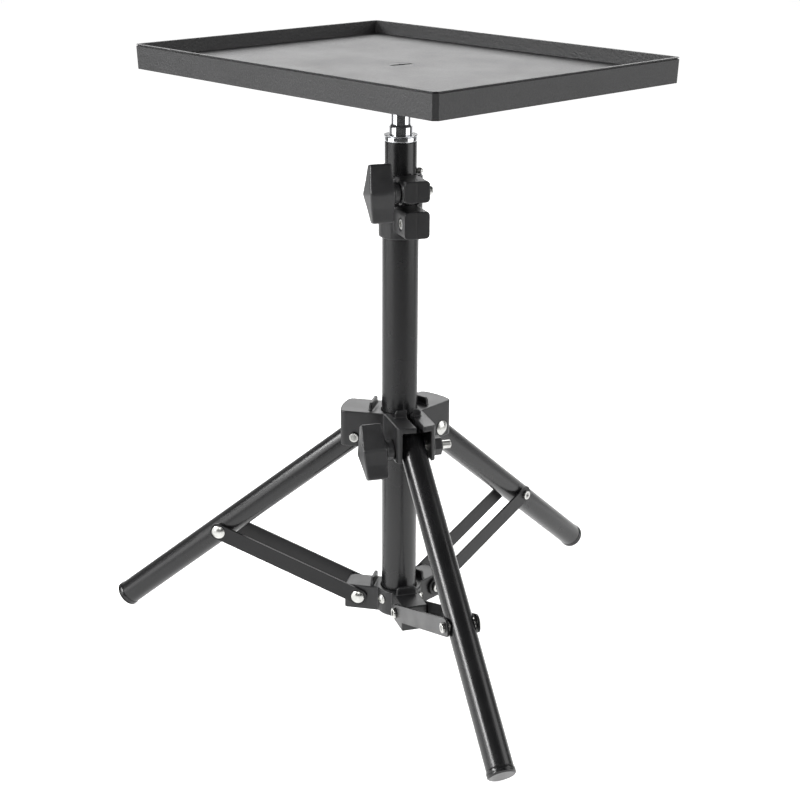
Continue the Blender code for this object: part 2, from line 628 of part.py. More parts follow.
def upper_clamp(head):
    """The split clamp: a lower band on the column, an upper band that grips the mast, and two lugs."""
    shoulder = COLUMN_TOP_Z + GAP
    notch_top = CLAMP_NOTCH_BOTTOM_Z + CLAMP_NOTCH_HEIGHT
    column_bore = COLUMN_OD / 2 + GAP
    mast_bore = MAST_OD / 2 + GAP
    radius = CLAMP_OD / 2
    profile = [(0, CLAMP_TOP_Z), (radius, CLAMP_TOP_Z), (radius, CLAMP_BOTTOM_Z), (0, CLAMP_BOTTOM_Z)]
    obj = turned("upper_clamp", profile, TUBE_SEGMENTS)
    round_edges(obj, HUB_EDGE, segments=1)
    for name, low, high in (
        ("clamp_lower_lug", CLAMP_LUG_BOTTOM_Z, CLAMP_NOTCH_BOTTOM_Z),
        ("clamp_upper_lug", notch_top, CLAMP_TOP_Z + CLAMP_LUG_RISE),
    ):
        lug = block(
            name, (mast_bore, -CLAMP_FACE, low), (CLAMP_LUG_REACH, CLAMP_FACE, high), 0, CLAMP_LUG_ROUND
        )
        join(obj, place(lug, head))
    boss = cylinder("clamp_boss", CLAMP_BOSS_OD, CLAMP_BOSS_HEIGHT + CLAMP_FACE / 2, TURNED_SEGMENTS)
    boss_middle = -CLAMP_FACE - (CLAMP_BOSS_HEIGHT - CLAMP_FACE / 2) / 2
    join(obj, place(boss, head, (CLAMP_BOLT_RADIUS_OUT, boss_middle, CLAMP_BOLT_Z), ALONG_Y))
    bore_profile = [
        (0, 2 * CLAMP_TOP_Z), (mast_bore, 2 * CLAMP_TOP_Z), (mast_bore, shoulder), (column_bore, shoulder),
        (column_bore, CLAMP_BOTTOM_Z - MM), (0, CLAMP_BOTTOM_Z - MM),
    ]
    cut(obj, place(turned("clamp_bore", bore_profile, TUBE_SEGMENTS), head))
    notch = block(
        "clamp_notch",
        (COLUMN_OD / 4, -CLAMP_OD, CLAMP_NOTCH_BOTTOM_Z),
        (COLUMN_OD, CLAMP_OD, notch_top),
    )
    cut(obj, place(notch, head))
    slit = block(
        "clamp_slit",
        (0, -CLAMP_SLIT / 2, CLAMP_BOTTOM_Z - MM),
        (2 * CLAMP_LUG_REACH, CLAMP_SLIT / 2, 2 * CLAMP_TOP_Z),
    )
    cut(obj, place(slit, head))
    bolt_hole = cylinder("clamp_bolt_hole", BOLT_OD + 2 * GAP, 3 * CLAMP_LUG_WIDTH)
    cut(obj, place(bolt_hole, head, (CLAMP_BOLT_RADIUS_OUT, 0, CLAMP_BOLT_Z), ALONG_Y))
    band_hole = cylinder("clamp_band_hole", BAND_SCREW_SHANK + 2 * GAP, 3 * CLAMP_LUG_WIDTH)
    cut(obj, place(band_hole, head, (CLAMP_BOLT_RADIUS_OUT, 0, BAND_SCREW_Z), ALONG_Y))
    recess = cylinder(
        "clamp_band_recess", BAND_SCREW_HEAD + 2 * GAP, 2 * BAND_SCREW_RECESS, PIN_SEGMENTS
    )
    cut(obj, place(recess, head, (CLAMP_BOLT_RADIUS_OUT, -CLAMP_FACE, BAND_SCREW_Z), ALONG_Y))
    for name, z, width, height in (
        ("clamp_nut_pocket", CLAMP_BOLT_Z, KNOB_NUT_WIDTH, KNOB_NUT_HEIGHT),
        ("clamp_band_pocket", BAND_SCREW_Z, BAND_NUT_WIDTH, BAND_NUT_HEIGHT),
    ):
        pocket = prism(name, [hexagon(width + 2 * GAP)], 2 * (height + GAP))
        cut(obj, place(pocket, head, (CLAMP_BOLT_RADIUS_OUT, CLAMP_FACE, z), ALONG_Y))
    return finish(place(obj, head), BLACK_PLASTIC)


def clamp_band_screw(head):
    """The screw that closes the clamp's lower band on the column; its head lies in a recess."""
    seat = CLAMP_FACE - BAND_SCREW_RECESS + GAP
    top = seat + BAND_SCREW_HEAD_HEIGHT
    radius = BAND_SCREW_HEAD / 2
    shank = BAND_SCREW_SHANK / 2
    low = -CLAMP_FACE - BOLT_CHAMFER
    profile = [
        (0, top), (radius - SOCKET_CHAMFER, top), (radius, top - SOCKET_CHAMFER), (radius, seat),
        (shank, seat), (shank, low + BOLT_CHAMFER), (shank - BOLT_CHAMFER, low), (0, low),
    ]
    obj = turned("clamp_band_screw", profile, PIN_SEGMENTS)
    at = (CLAMP_BOLT_RADIUS_OUT, 0, BAND_SCREW_Z)
    end = (CLAMP_BOLT_RADIUS_OUT, -top, BAND_SCREW_Z)
    hex_socket(obj, head, end, AGAINST_Y, SOCKET_WIDTH, SOCKET_DEPTH)
    return finish(place(obj, head, at, AGAINST_Y), ZINC)


def hex_nut(name, parent, location, width, height, bore):
    """A hexagonal nut along its frame's Y, its inner face at the location."""
    hole = arc((0, 0), bore / 2 + GAP, 0, 360 - 360 / HOLE_SEGMENTS, HOLE_SEGMENTS - 1)
    obj = prism(name, [hexagon(width), hole], height)
    x, y, z = location
    return finish(place(obj, parent, (x, y + height / 2, z), ALONG_Y), ZINC)


# Knobs


def knob(name, turning, face, neck_length, turn):
    """A wing knob: a long lozenge with hollowed flanks, a round neck and a blind bore for its bolt.

    It lies on the -Y side of its frame, whose Y is the bolt's axis; its neck starts at the face.
    """
    tip, wide, long = KNOB_TIP_HALF_WIDTH, KNOB_HALF_WIDTH, KNOB_HALF_LENGTH
    flank = (tip + wide) / 2 - KNOB_WAIST
    bm = bmesh.new()
    rows = []
    for half, y in ((tip, -long), (flank, -long / 2), (wide, 0), (flank, long / 2), (tip, long)):
        outer = -KNOB_THICKNESS - KNOB_CROWN * (1 - abs(y) / long)
        corners = ((-half, y, 0), (half, y, 0), (half, y, outer), (-half, y, outer))
        rows.append([bm.verts.new(corner) for corner in corners])
    for first, second in zip(rows, rows[1:]):
        for k in range(4):
            bm.faces.new((first[k], first[k - 3], second[k - 3], second[k]))
    bm.faces.new(rows[0])
    bm.faces.new(rows[-1])
    obj = mesh_object(name, bm)
    round_edges(obj, KNOB_ROUND, segments=2, angle=20)
    body_near = face - neck_length
    place(obj, turning, (0, body_near, 0), (-math.pi / 2, turn, 0))
    neck = cylinder(name + "_neck", KNOB_NECK_OD, neck_length + KNOB_THICKNESS / 2, TURNED_SEGMENTS)
    middle = face - (neck_length + KNOB_THICKNESS / 2) / 2
    join(obj, place(neck, turning, (0, middle, 0), ALONG_Y))
    bore = cylinder(name + "_bore", BOLT_OD + 2 * GAP, 2 * KNOB_BORE_DEPTH)
    cut(obj, place(bore, turning, (0, face, 0), ALONG_Y))
    return finish(obj, BLACK_PLASTIC)


def knob_bolt(name, turning, face, far_end):
    """A knob's bolt, from the bottom of the knob's bore to its free end."""
    start = face - KNOB_BORE_DEPTH + GAP
    radius = BOLT_OD / 2
    profile = [
        (0, far_end), (radius - BOLT_CHAMFER, far_end), (radius, far_end - BOLT_CHAMFER),
        (radius, start + BOLT_CHAMFER), (radius - BOLT_CHAMFER, start), (0, start),
    ]
    obj = turned(name, profile, PIN_SEGMENTS)
    return finish(place(obj, turning, (0, 0, 0), ALONG_Y), ZINC)


# Leg collar


def collar_outline():
    """The collar from above: three arms with rounded corners, whose ends lie on one circle."""
    half, corner, reach = COLLAR_HALF_WIDTH, COLLAR_ARM_ROUND, COLLAR_ARM_REACH
    root = half / math.tan(math.radians(60))
    corner_radius, corner_side = reach - corner, half - corner
    turn = math.degrees(math.asin(corner_side / corner_radius))
    corner_out = math.sqrt(corner_radius ** 2 - corner_side ** 2)
    side = [(root, -half)] + arc((corner_out, -corner_side), corner, -90, -turn, 3)
    arm = side + arc((0, 0), reach, -turn, turn, 4)[1:-1] + [(x, -y) for x, y in reversed(side)][:-1]
    points = []
    for azimuth in LEG_AZIMUTHS:
        c, s = math.cos(azimuth), math.sin(azimuth)
        points += [(x * c - y * s, x * s + y * c) for x, y in arm]
    return points


def lip(name, parent, radius, width, plate, height):
    """An upright lip across an arm's root, its upper corners chamfered."""
    half = width / 2
    outline = [
        (-half, -LIP_THICKNESS), (half, -LIP_THICKNESS), (half, height - LIP_CORNER),
        (half - LIP_CORNER, height), (-half + LIP_CORNER, height), (-half, height - LIP_CORNER),
    ]
    obj = prism(name, [outline], LIP_THICKNESS)
    turned_up = (math.pi / 2, 0, math.pi / 2)
    return place(obj, parent, (radius + LIP_THICKNESS / 2, 0, plate), turned_up)


def leg_collar(collar, arms):
    """The sliding collar. The front arm and the ring are split, so its bolt clamps the column."""
    low, high = -COLLAR_BOTTOM_BELOW_HINGE, COLLAR_TOP_ABOVE_HINGE
    obj = prism("leg_collar", [collar_outline()], high - low)
    round_edges(obj, COLLAR_EDGE, segments=2, angle=60)
    place(obj, collar, (0, 0, (low + high) / 2))
    for name, arm in zip(LEG_NAMES, arms):
        join(obj, lip(name + "_collar_lip", arm, LIP_RADIUS, LIP_WIDTH, high, LIP_HEIGHT))
    front = arms[0]
    boss = prism("collar_boss", [hexagon(COLLAR_BOSS_OD)], COLLAR_BOSS_HEIGHT + COLLAR_SIDE_WALL / 2)
    boss_middle = COLLAR_HALF_WIDTH + (COLLAR_BOSS_HEIGHT - COLLAR_SIDE_WALL / 2) / 2
    join(obj, place(boss, front, (LEG_HINGE_RADIUS, boss_middle, 0), ALONG_Y))
    inner = COLLAR_HALF_WIDTH - COLLAR_SIDE_WALL
    ring = COLUMN_OD / 2 + GAP + COLLAR_RING_WALL
    for name, arm in zip(LEG_NAMES, arms):
        channel = block(
            name + "_channel",
            (ring, -inner, low - MM),
            (2 * COLLAR_ARM_REACH, inner, high - COLLAR_PLATE),
        )
        cut(obj, place(channel, arm))
        hole = cylinder(name + "_hinge_hole", BOLT_OD + 2 * GAP, 3 * COLLAR_ARM_WIDTH)
        cut(obj, place(hole, arm, (LEG_HINGE_RADIUS, 0, 0), ALONG_Y))
    bore = cylinder("collar_bore", COLUMN_OD + 2 * GAP, 4 * (high - low), TUBE_SEGMENTS)
    cut(obj, place(bore, collar))
    near = COLLAR_SPLIT_OFFSET - COLLAR_SPLIT / 2
    split = block(
        "collar_split",
        (0, near, low - MM),
        (2 * COLLAR_ARM_REACH, near + COLLAR_SPLIT, high + 2 * LIP_HEIGHT),
    )
    cut(obj, place(split, front))
    pocket_depth = KNOB_NUT_HEIGHT + GAP
    pocket = prism("collar_nut_pocket", [hexagon(KNOB_NUT_WIDTH + 2 * GAP)], 2 * pocket_depth)
    pocket_mouth = COLLAR_HALF_WIDTH + COLLAR_BOSS_HEIGHT
    cut(obj, place(pocket, front, (LEG_HINGE_RADIUS, pocket_mouth, 0), ALONG_Y))
    return finish(obj, BLACK_PLASTIC)


def two_headed_pin(name, parent, location, seat, dome_od, head_od, turned_round=False):
    """A pivot pin along its frame's Y: a dome on one side, a head with a hexagonal socket on the other."""
    dome_base, socket_base = seat + GAP, -seat - GAP
    shank = PIN_OD / 2
    head = head_od / 2
    low = socket_base - SOCKET_HEAD_HEIGHT
    profile = dome(dome_od / 2, DOME_HEIGHT, dome_base) + [
        (shank, dome_base), (shank, socket_base), (head, socket_base), (head, low + SOCKET_CHAMFER),
        (head - SOCKET_CHAMFER, low), (0, low),
    ]
    rotation = AGAINST_Y if turned_round else ALONG_Y
    side = 1 if turned_round else -1
    obj = turned(name, profile, PIN_SEGMENTS)
    x, y, z = location
    end = (x, y - side * low, z)
    hex_socket(obj, parent, end, rotation, SOCKET_WIDTH, SOCKET_DEPTH)
    return finish(place(obj, parent, location, rotation), ZINC)


# Legs


def leg_tube(name, leg):
    inner = LEG_OD - 2 * LEG_WALL
    low, high = -LEG_TOP_OVERRUN, LEG_LENGTH - FOOT_LENGTH
    obj = tube(name + "_leg_tube", LEG_OD, inner, low, high, LEG_SEGMENTS)
    place(obj, leg, (0, 0, 0), ALONG_X)
    hinge_hole = cylinder(name + "_leg_hinge_hole", BOLT_OD + 2 * GAP, 2 * LEG_OD)
    cut(obj, place(hinge_hole, leg, (0, 0, 0), ALONG_Y))
    sleeve_hole = cylinder(name + "_leg_sleeve_hole", LEG_SLEEVE_OD + 2 * GAP, 2 * LEG_OD)
    cut(obj, place(sleeve_hole, leg, (LEG_PIVOT_DISTANCE, 0, 0), ALONG_Y))
    return finish(obj, BLACK_PAINT)


def leg_plug(name, leg):
    """The plug in the leg's upper end, which the hinge pin goes through."""
    stem = LEG_OD / 2 - LEG_WALL - GAP
    face = -LEG_TOP_OVERRUN - GAP
    profile = [
        (0, face + LEG_PLUG_LENGTH), (stem, face + LEG_PLUG_LENGTH), (stem, face),
        (LEG_OD / 2, face), (LEG_OD / 2, face - LEG_PLUG_HEAD), (0, face - LEG_PLUG_HEAD),
    ]
    obj = turned(name + "_leg_plug", profile, LEG_SEGMENTS)
    place(obj, leg, (0, 0, 0), ALONG_X)
    hole = cylinder(name + "_leg_plug_hole", BOLT_OD + 2 * GAP, 2 * LEG_OD)
    cut(obj, place(hole, leg, (0, 0, 0), ALONG_Y))
    return finish(obj, BLACK_PLASTIC)


def leg_sleeve(name, leg):
    """The cross sleeve in the leg where its struts meet it, just clear of the bars on each side."""
    reach = STRUT_INNER_FACE - GAP
    obj = tube(name + "_leg_sleeve", LEG_SLEEVE_OD, LEG_SLEEVE_BORE, -reach, reach, PIN_SEGMENTS)
    return finish(place(obj, leg, (LEG_PIVOT_DISTANCE, 0, 0), ALONG_Y), ZINC)


def foot_cap(name, leg):
    """The plastic foot: a stem in the tube and a slightly wider end with a chamfered flat face."""
    stem = LEG_OD / 2 - LEG_WALL - GAP
    shoulder = LEG_LENGTH - FOOT_LENGTH + GAP
    radius = FOOT_OD / 2
    profile = [
        (0, LEG_LENGTH), (radius - FOOT_CHAMFER, LEG_LENGTH), (radius, LEG_LENGTH - FOOT_CHAMFER),
        (radius, shoulder), (stem, shoulder), (stem, shoulder - FOOT_STEM_LENGTH),
        (0, shoulder - FOOT_STEM_LENGTH),
    ]
    obj = turned(name + "_foot_cap", profile, LEG_SEGMENTS)
    return finish(place(obj, leg, (0, 0, 0), ALONG_X), BLACK_PLASTIC)


# Lower hub


def lower_hub(axis, arms):
    """The fixed hub: a ring round the column's foot and three flat-topped arms for the struts."""
    radius = HUB_RING_OD / 2
    bore = COLUMN_OD / 2 + GAP
    hole = PLUG_STEM_OD / 2 + GAP
    profile = [
        (0, HUB_TOP_Z), (radius, HUB_TOP_Z), (radius, HUB_RING_BOTTOM_Z + HUB_RING_TAPER),
        (radius - HUB_RING_TAPER, HUB_RING_BOTTOM_Z), (0, HUB_RING_BOTTOM_Z),
    ]
    obj = turned("lower_hub", profile, TUBE_SEGMENTS)
    place(obj, axis)
    half = HUB_ARM_WIDTH / 2
    for name, arm in zip(LEG_NAMES, arms):
        top = HUB_TOP_Z - HUB_ARM_DROP
        beam = block(name + "_hub_arm", (hole, -half, HUB_ARM_BOTTOM_Z), (HUB_ARM_REACH, half, top))
        round_edges(beam, HUB_EDGE, segments=2)
        join(obj, place(beam, arm))
        join(obj, lip(name + "_hub_lip", arm, HUB_LIP_RADIUS, HUB_LIP_WIDTH, HUB_TOP_Z, HUB_LIP_HEIGHT))
        pin_hole = cylinder(name + "_hub_hole", PIN_OD + 2 * GAP, 2 * HUB_ARM_WIDTH)
        cut(obj, place(pin_hole, arm, (HUB_PIVOT_RADIUS, 0, HUB_PIVOT_Z), ALONG_Y))
        screw_hole = cylinder(name + "_hub_screw_hole", HUB_SCREW_SHANK + 2 * GAP, radius)
        cut(obj, place(screw_hole, screw_frame(name, arm), (radius, 0, 0), ALONG_X))
    clear = 2 * HUB_TOP_Z
    bore_profile = [
        (0, clear), (bore, clear), (bore, HUB_LEDGE_Z), (hole, HUB_LEDGE_Z), (hole, 0), (0, 0),
    ]
    cut(obj, place(turned("hub_bore", bore_profile, TUBE_SEGMENTS), axis))
    return finish(obj, BLACK_PLASTIC)


def screw_frame(name, arm):
    """The frame of a hub screw, which points along its X, out of the ring between two arms."""
    return frame(name + "_screw_frame", arm, (0, 0, HUB_SCREW_Z), (0, 0, math.radians(HUB_SCREW_TURN)))


def hub_screw(name, arm):
    """A button screw in the ring, between two arms, that fixes the hub to the column."""
    turning = screw_frame(name, arm)
    seat = HUB_RING_OD / 2 + GAP
    shank = HUB_SCREW_SHANK / 2
    low = seat - HUB_SCREW_DEPTH
    profile = dome(HUB_SCREW_HEAD / 2, HUB_SCREW_HEAD_HEIGHT, seat) + [(shank, seat), (shank, low), (0, low)]
    obj = turned(name + "_hub_screw", profile, HOLE_SEGMENTS)
    end = (seat + HUB_SCREW_HEAD_HEIGHT, 0, 0)
    hex_socket(obj, turning, end, ALONG_X, HUB_SCREW_SOCKET, SOCKET_DEPTH)
    return finish(place(obj, turning, (0, 0, 0), ALONG_X), ZINC)


def bottom_plug(axis):
    """The plug that closes the hub's underside."""
    seat = HUB_RING_BOTTOM_Z - GAP
    stem = PLUG_STEM_OD / 2
    head = PLUG_HEAD_OD / 2
    low = seat - PLUG_HEAD_HEIGHT
    profile = [
        (0, seat + PLUG_STEM_LENGTH), (stem, seat + PLUG_STEM_LENGTH), (stem, seat), (head, seat),
        (head, low + FOOT_CHAMFER), (head - FOOT_CHAMFER, low), (0, low),
    ]
    obj = turned("bottom_plug", profile, TURNED_SEGMENTS)
    return finish(place(obj, axis), BLACK_PLASTIC)


# Struts


def strut_bar(name, strut, side):
    """A flat bar with round ends and a hole at each, on one side of its leg."""
    half = STRUT_WIDTH / 2
    outline = arc((STRUT_LENGTH, 0), half, -90, 90, 8) + arc((0, 0), half, 90, 270, 8)
    step = 360 / HOLE_SEGMENTS
    holes = [
        arc((x, 0), PIN_OD / 2 + GAP, 0, 360 - step, HOLE_SEGMENTS - 1) for x in (0, STRUT_LENGTH)
    ]
    obj = prism(name, [outline] + holes, STRUT_THICKNESS)
    middle = (STRUT_INNER_FACE + STRUT_OUTER_FACE) / 2
    return finish(place(obj, strut, (0, side * middle, 0), ALONG_Y), BLACK_PAINT)


def strut_dome_rivet(name, strut):
    """The domed rivet in the +Y bar's outer end."""
    seat = STRUT_OUTER_FACE + GAP
    shank = PIN_OD / 2
    profile = dome(DOME_OD / 2, DOME_HEIGHT, seat) + [
        (shank, seat), (shank, STRUT_INNER_FACE), (0, STRUT_INNER_FACE),
    ]
    obj = turned(name, profile, PIN_SEGMENTS)
    return finish(place(obj, strut, (STRUT_LENGTH, 0, 0), ALONG_Y), ZINC)


def strut_socket_screw(name, strut):
    """The socket-headed screw in the -Y bar's outer end."""
    seat = STRUT_OUTER_FACE + GAP
    top = seat + SOCKET_HEAD_HEIGHT
    head = STRUT_HEAD_OD / 2
    shank = PIN_OD / 2
    profile = [
        (0, top), (head - SOCKET_CHAMFER, top), (head, top - SOCKET_CHAMFER), (head, seat),
        (shank, seat), (shank, STRUT_INNER_FACE), (0, STRUT_INNER_FACE),
    ]
    obj = turned(name, profile, PIN_SEGMENTS)
    hex_socket(obj, strut, (STRUT_LENGTH, -top, 0), AGAINST_Y, STRUT_SOCKET_WIDTH, SOCKET_DEPTH)
    return finish(place(obj, strut, (STRUT_LENGTH, 0, 0), AGAINST_Y), ZINC)


# Assembly


def build_mast(axis):
    mast = frame("mast_slide", axis)
    stop = stop_frame(mast)
    inner_tube(mast, stop)
    mast_stop(stop)
    guide_bush(mast)
    mast_end_ring(mast)
    spigot(mast)
    tray_screw(mast)
    tray(frame("tray_swivel", mast))


def build_clamp(axis):
    head = frame("clamp_frame", axis, rotation=(0, 0, math.radians(CLAMP_AZIMUTH)))
    upper_clamp(head)
    clamp_band_screw(head)
    out = CLAMP_BOLT_RADIUS_OUT
    for name, z, width, height, bore in (
        ("clamp_band_nut", BAND_SCREW_Z, BAND_NUT_WIDTH, BAND_NUT_HEIGHT, BAND_SCREW_SHANK),
        ("upper_knob_nut", CLAMP_BOLT_Z, KNOB_NUT_WIDTH, KNOB_NUT_HEIGHT, BOLT_OD),
    ):
        hex_nut(name, head, (out, CLAMP_FACE - height, z), width, height, bore)
    turning = frame("upper_knob_turn", head, (out, 0, CLAMP_BOLT_Z))
    knob_face = -CLAMP_FACE - CLAMP_BOSS_HEIGHT - GAP
    knob("upper_knob", turning, knob_face, UPPER_NECK_LENGTH, math.radians(UPPER_KNOB_TURN))
    knob_bolt("upper_knob_bolt", turning, knob_face, CLAMP_FACE + UPPER_BOLT_PROUD)


def arm_frames(suffix, parent):
    """A frame for each leg's direction: X outwards, Z up."""
    return [
        frame(name + "_" + suffix, parent, rotation=(0, 0, azimuth))
        for name, azimuth in zip(LEG_NAMES, LEG_AZIMUTHS)
    ]


def build_collar(axis):
    collar = frame("collar_slide", axis, (0, 0, HINGE_Z))
    arms = arm_frames("arm", collar)
    leg_collar(collar, arms)
    for name, arm in list(zip(LEG_NAMES, arms))[1:]:
        at = (LEG_HINGE_RADIUS, 0, 0)
        two_headed_pin(name + "_hinge_pin", arm, at, COLLAR_HALF_WIDTH, HINGE_DOME_OD, HINGE_HEAD_OD, True)
    turning = frame("lower_knob_turn", arms[0], (LEG_HINGE_RADIUS, 0, 0))
    knob_face = -COLLAR_HALF_WIDTH - GAP
    knob("lower_knob", turning, knob_face, LOWER_NECK_LENGTH, math.radians(LOWER_KNOB_TURN))
    boss_face = COLLAR_HALF_WIDTH + COLLAR_BOSS_HEIGHT
    knob_bolt("lower_knob_bolt", turning, knob_face, boss_face + LOWER_BOLT_PROUD)
    nut_seat = (LEG_HINGE_RADIUS, boss_face - KNOB_NUT_HEIGHT, 0)
    hex_nut("lower_knob_nut", arms[0], nut_seat, KNOB_NUT_WIDTH, KNOB_NUT_HEIGHT, BOLT_OD)
    for name, arm in zip(LEG_NAMES, arms):
        leg = frame(name + "_leg_hinge", arm, (LEG_HINGE_RADIUS, 0, 0), (0, SLOPE, 0))
        leg_tube(name, leg)
        leg_plug(name, leg)
        leg_sleeve(name, leg)
        foot_cap(name, leg)


def build_hub(axis):
    arms = arm_frames("hub_frame", axis)
    lower_hub(axis, arms)
    bottom_plug(axis)
    pivot = (HUB_PIVOT_RADIUS, 0, HUB_PIVOT_Z)
    for name, arm in zip(LEG_NAMES, arms):
        hub_screw(name, arm)
        two_headed_pin(name + "_hub_pin", arm, pivot, STRUT_OUTER_FACE, DOME_OD, SOCKET_HEAD_OD)
        strut = frame(name + "_strut_hinge", arm, pivot, (0, -STRUT_SLOPE, 0))
        strut_bar(name + "_strut_bar_a", strut, 1)
        strut_bar(name + "_strut_bar_b", strut, -1)
        strut_dome_rivet(name + "_strut_rivet", strut)
        strut_socket_screw(name + "_strut_screw", strut)


def build_stand():
    axis = frame("stand_axis", None, axis_place())
    outer_tube(axis)
    build_clamp(axis)
    build_mast(axis)
    build_collar(axis)
    build_hub(axis)
    bpy.context.view_layer.update()


build_stand()
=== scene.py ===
import json
import math

import bmesh
import bpy
from mathutils import Matrix, Vector


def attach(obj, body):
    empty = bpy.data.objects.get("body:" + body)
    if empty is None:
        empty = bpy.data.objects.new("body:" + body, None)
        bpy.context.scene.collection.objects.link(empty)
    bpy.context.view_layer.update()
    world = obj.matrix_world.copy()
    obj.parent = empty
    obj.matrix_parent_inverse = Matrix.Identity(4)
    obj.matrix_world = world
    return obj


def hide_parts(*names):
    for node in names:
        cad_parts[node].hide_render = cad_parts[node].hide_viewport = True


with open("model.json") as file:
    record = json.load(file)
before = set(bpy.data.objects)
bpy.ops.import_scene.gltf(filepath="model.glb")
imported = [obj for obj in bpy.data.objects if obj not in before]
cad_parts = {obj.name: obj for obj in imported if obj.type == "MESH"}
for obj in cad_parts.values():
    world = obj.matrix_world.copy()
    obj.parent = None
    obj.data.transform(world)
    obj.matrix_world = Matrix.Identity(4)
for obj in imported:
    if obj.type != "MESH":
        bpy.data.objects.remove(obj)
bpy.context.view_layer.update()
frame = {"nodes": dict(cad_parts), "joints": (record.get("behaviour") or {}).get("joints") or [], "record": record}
print("frame loaded:", len(frame["nodes"]), "CAD nodes")

mm = 0.001
gap = 0.3  # mm between pieces that touch in the real stand
legNames = ("front", "right", "left")
jointAt = {joint["name"]: Vector(joint["pos_m"]) for joint in frame["joints"] if "pos_m" in joint}
jointAxis = {joint["name"]: Vector(joint["axis"]) for joint in frame["joints"]}

# Places. Each piece is made in a small frame of its own, in mm, and one matrix lays it in the stand.
layout = dict(legSlope=39.2, legHingeRadius=29.8, legPivotDistance=136.5, hubPivotRadius=28.65)


def shift(x=0, y=0, z=0):
    return Matrix.Translation((x * mm, y * mm, z * mm))


def turn(degrees, axis):
    return Matrix.Rotation(math.radians(degrees), 4, axis)


here = Matrix.Identity(4)
alongX = turn(90, "Y")  # these three lay a piece made along Z
alongY = turn(-90, "X")
againstY = turn(90, "X")

columnPlace = Matrix.Translation((jointAt["tray_swivel"].x, jointAt["tray_swivel"].y, 0))
clampAcross = jointAxis["upper_knob_turn"]
clampPlace = columnPlace @ Matrix.Rotation(math.atan2(-clampAcross.x, clampAcross.y) + math.pi, 4, "Z")
hingeZ = jointAt["front_leg_hinge"].z / mm
hubZ = jointAt["front_strut_hinge"].z / mm
slope = math.radians(layout["legSlope"])
strutRun = layout["legHingeRadius"] + layout["legPivotDistance"] * math.cos(slope) - layout["hubPivotRadius"]
strutRise = hingeZ - layout["legPivotDistance"] * math.sin(slope) - hubZ
strutLength = math.hypot(strutRun, strutRise)


def armPlace(leg):  # X points outwards along the leg's arm
    across = jointAxis[leg + "_leg_hinge"]
    return columnPlace @ Matrix.Rotation(math.atan2(-across.x, across.y), 4, "Z")


def legPlace(leg):  # X runs down the leg from its hinge
    return armPlace(leg) @ shift(layout["legHingeRadius"], 0, hingeZ) @ turn(layout["legSlope"], "Y")


def strutPlace(leg):  # X runs from the hub's pin to the leg's pivot
    rise = math.degrees(math.atan2(strutRise, strutRun))
    return armPlace(leg) @ shift(layout["hubPivotRadius"], 0, hubZ) @ turn(-rise, "Y")


# Materials
def srgb(text):  # "#rrggbb" to linear
    parts = [int(text[k:k + 2], 16) / 255 for k in (1, 3, 5)]
    return (*[c / 12.92 if c <= 0.04045 else ((c + 0.055) / 1.055) ** 2.4 for c in parts], 1)


def addNode(tree, kind, settings=None, values=None, links=None):
    node = tree.nodes.new(kind)
    for name, value in (settings or {}).items():
        setattr(node, name, value)
    for name, value in (values or {}).items():
        node.inputs[name].default_value = value
    for name, (source, output) in (links or {}).items():
        tree.links.new(source.outputs[output], node.inputs[name])
    return node


def noise(tree, where, size, detail, roughness):  # size in mm
    return addNode(tree, "ShaderNodeTexNoise", values={
        "Scale": 1 / (size * mm), "Detail": detail, "Roughness": roughness},
        links={"Vector": (where, "Object")})


def grained(name, look):  # a solid finish with a fine grain and a slow drift of colour and gloss
    made = bpy.data.materials.new(name)
    made.use_nodes = True
    made.diffuse_color = srgb(look["light"])
    tree = made.node_tree
    shader = tree.nodes["Principled BSDF"]
    where = addNode(tree, "ShaderNodeTexCoord")
    grain = noise(tree, where, look["grain"], 3, 0.6)
    drift = noise(tree, where, look["drift"], 4, 0.55)
    driftLow, driftHigh = 0.3, 0.7  # most of the noise lies between these
    colour = addNode(tree, "ShaderNodeValToRGB", links={"Fac": (drift, "Fac")})
    for stop, position, shade in zip(colour.color_ramp.elements, (driftLow, driftHigh), ("dark", "light")):
        stop.position = position
        stop.color = srgb(look[shade])
    tree.links.new(colour.outputs["Color"], shader.inputs["Base Color"])
    gloss = addNode(tree, "ShaderNodeMapRange", values={
        "From Min": driftLow, "From Max": driftHigh,
        "To Min": look["roughness"][0], "To Max": look["roughness"][1]}, links={"Value": (drift, "Fac")})
    tree.links.new(gloss.outputs["Result"], shader.inputs["Roughness"])
    bump = addNode(tree, "ShaderNodeBump", values={
        "Strength": look["bump"], "Distance": look["depth"] * mm}, links={"Height": (grain, "Fac")})
    tree.links.new(bump.outputs["Normal"], shader.inputs["Normal"])
    shader.inputs["Metallic"].default_value = look.get("metallic", 0)
    if "ior" in look:
        shader.inputs["IOR"].default_value = look["ior"]
    return made


# powder coat on steel: semi-gloss, with a faint orange peel (drawn at 1.2 mm so that it shows)
powderCoat = grained("black_powder_coat", dict(
    dark="#131314", light="#181819", grain=1.2, drift=30,
    roughness=(0.23, 0.29), bump=0.07, depth=0.05, ior=1.45))
# thin black paint on the stamped bars, duller than the coat on the tubes
barPaint = grained("black_bar_paint", dict(
    dark="#151516", light="#1b1b1c", grain=1.0, drift=20,
    roughness=(0.32, 0.40), bump=0.15, depth=0.05, ior=1.36))
# glass-filled nylon, moulded in a lightly spark-eroded mould: satin, softly mottled
mouldedNylon = grained("black_moulded_nylon", dict(
    dark="#19191a", light="#202021", grain=0.7, drift=14,
    roughness=(0.34, 0.42), bump=0.3, depth=0.08, ior=1.45))
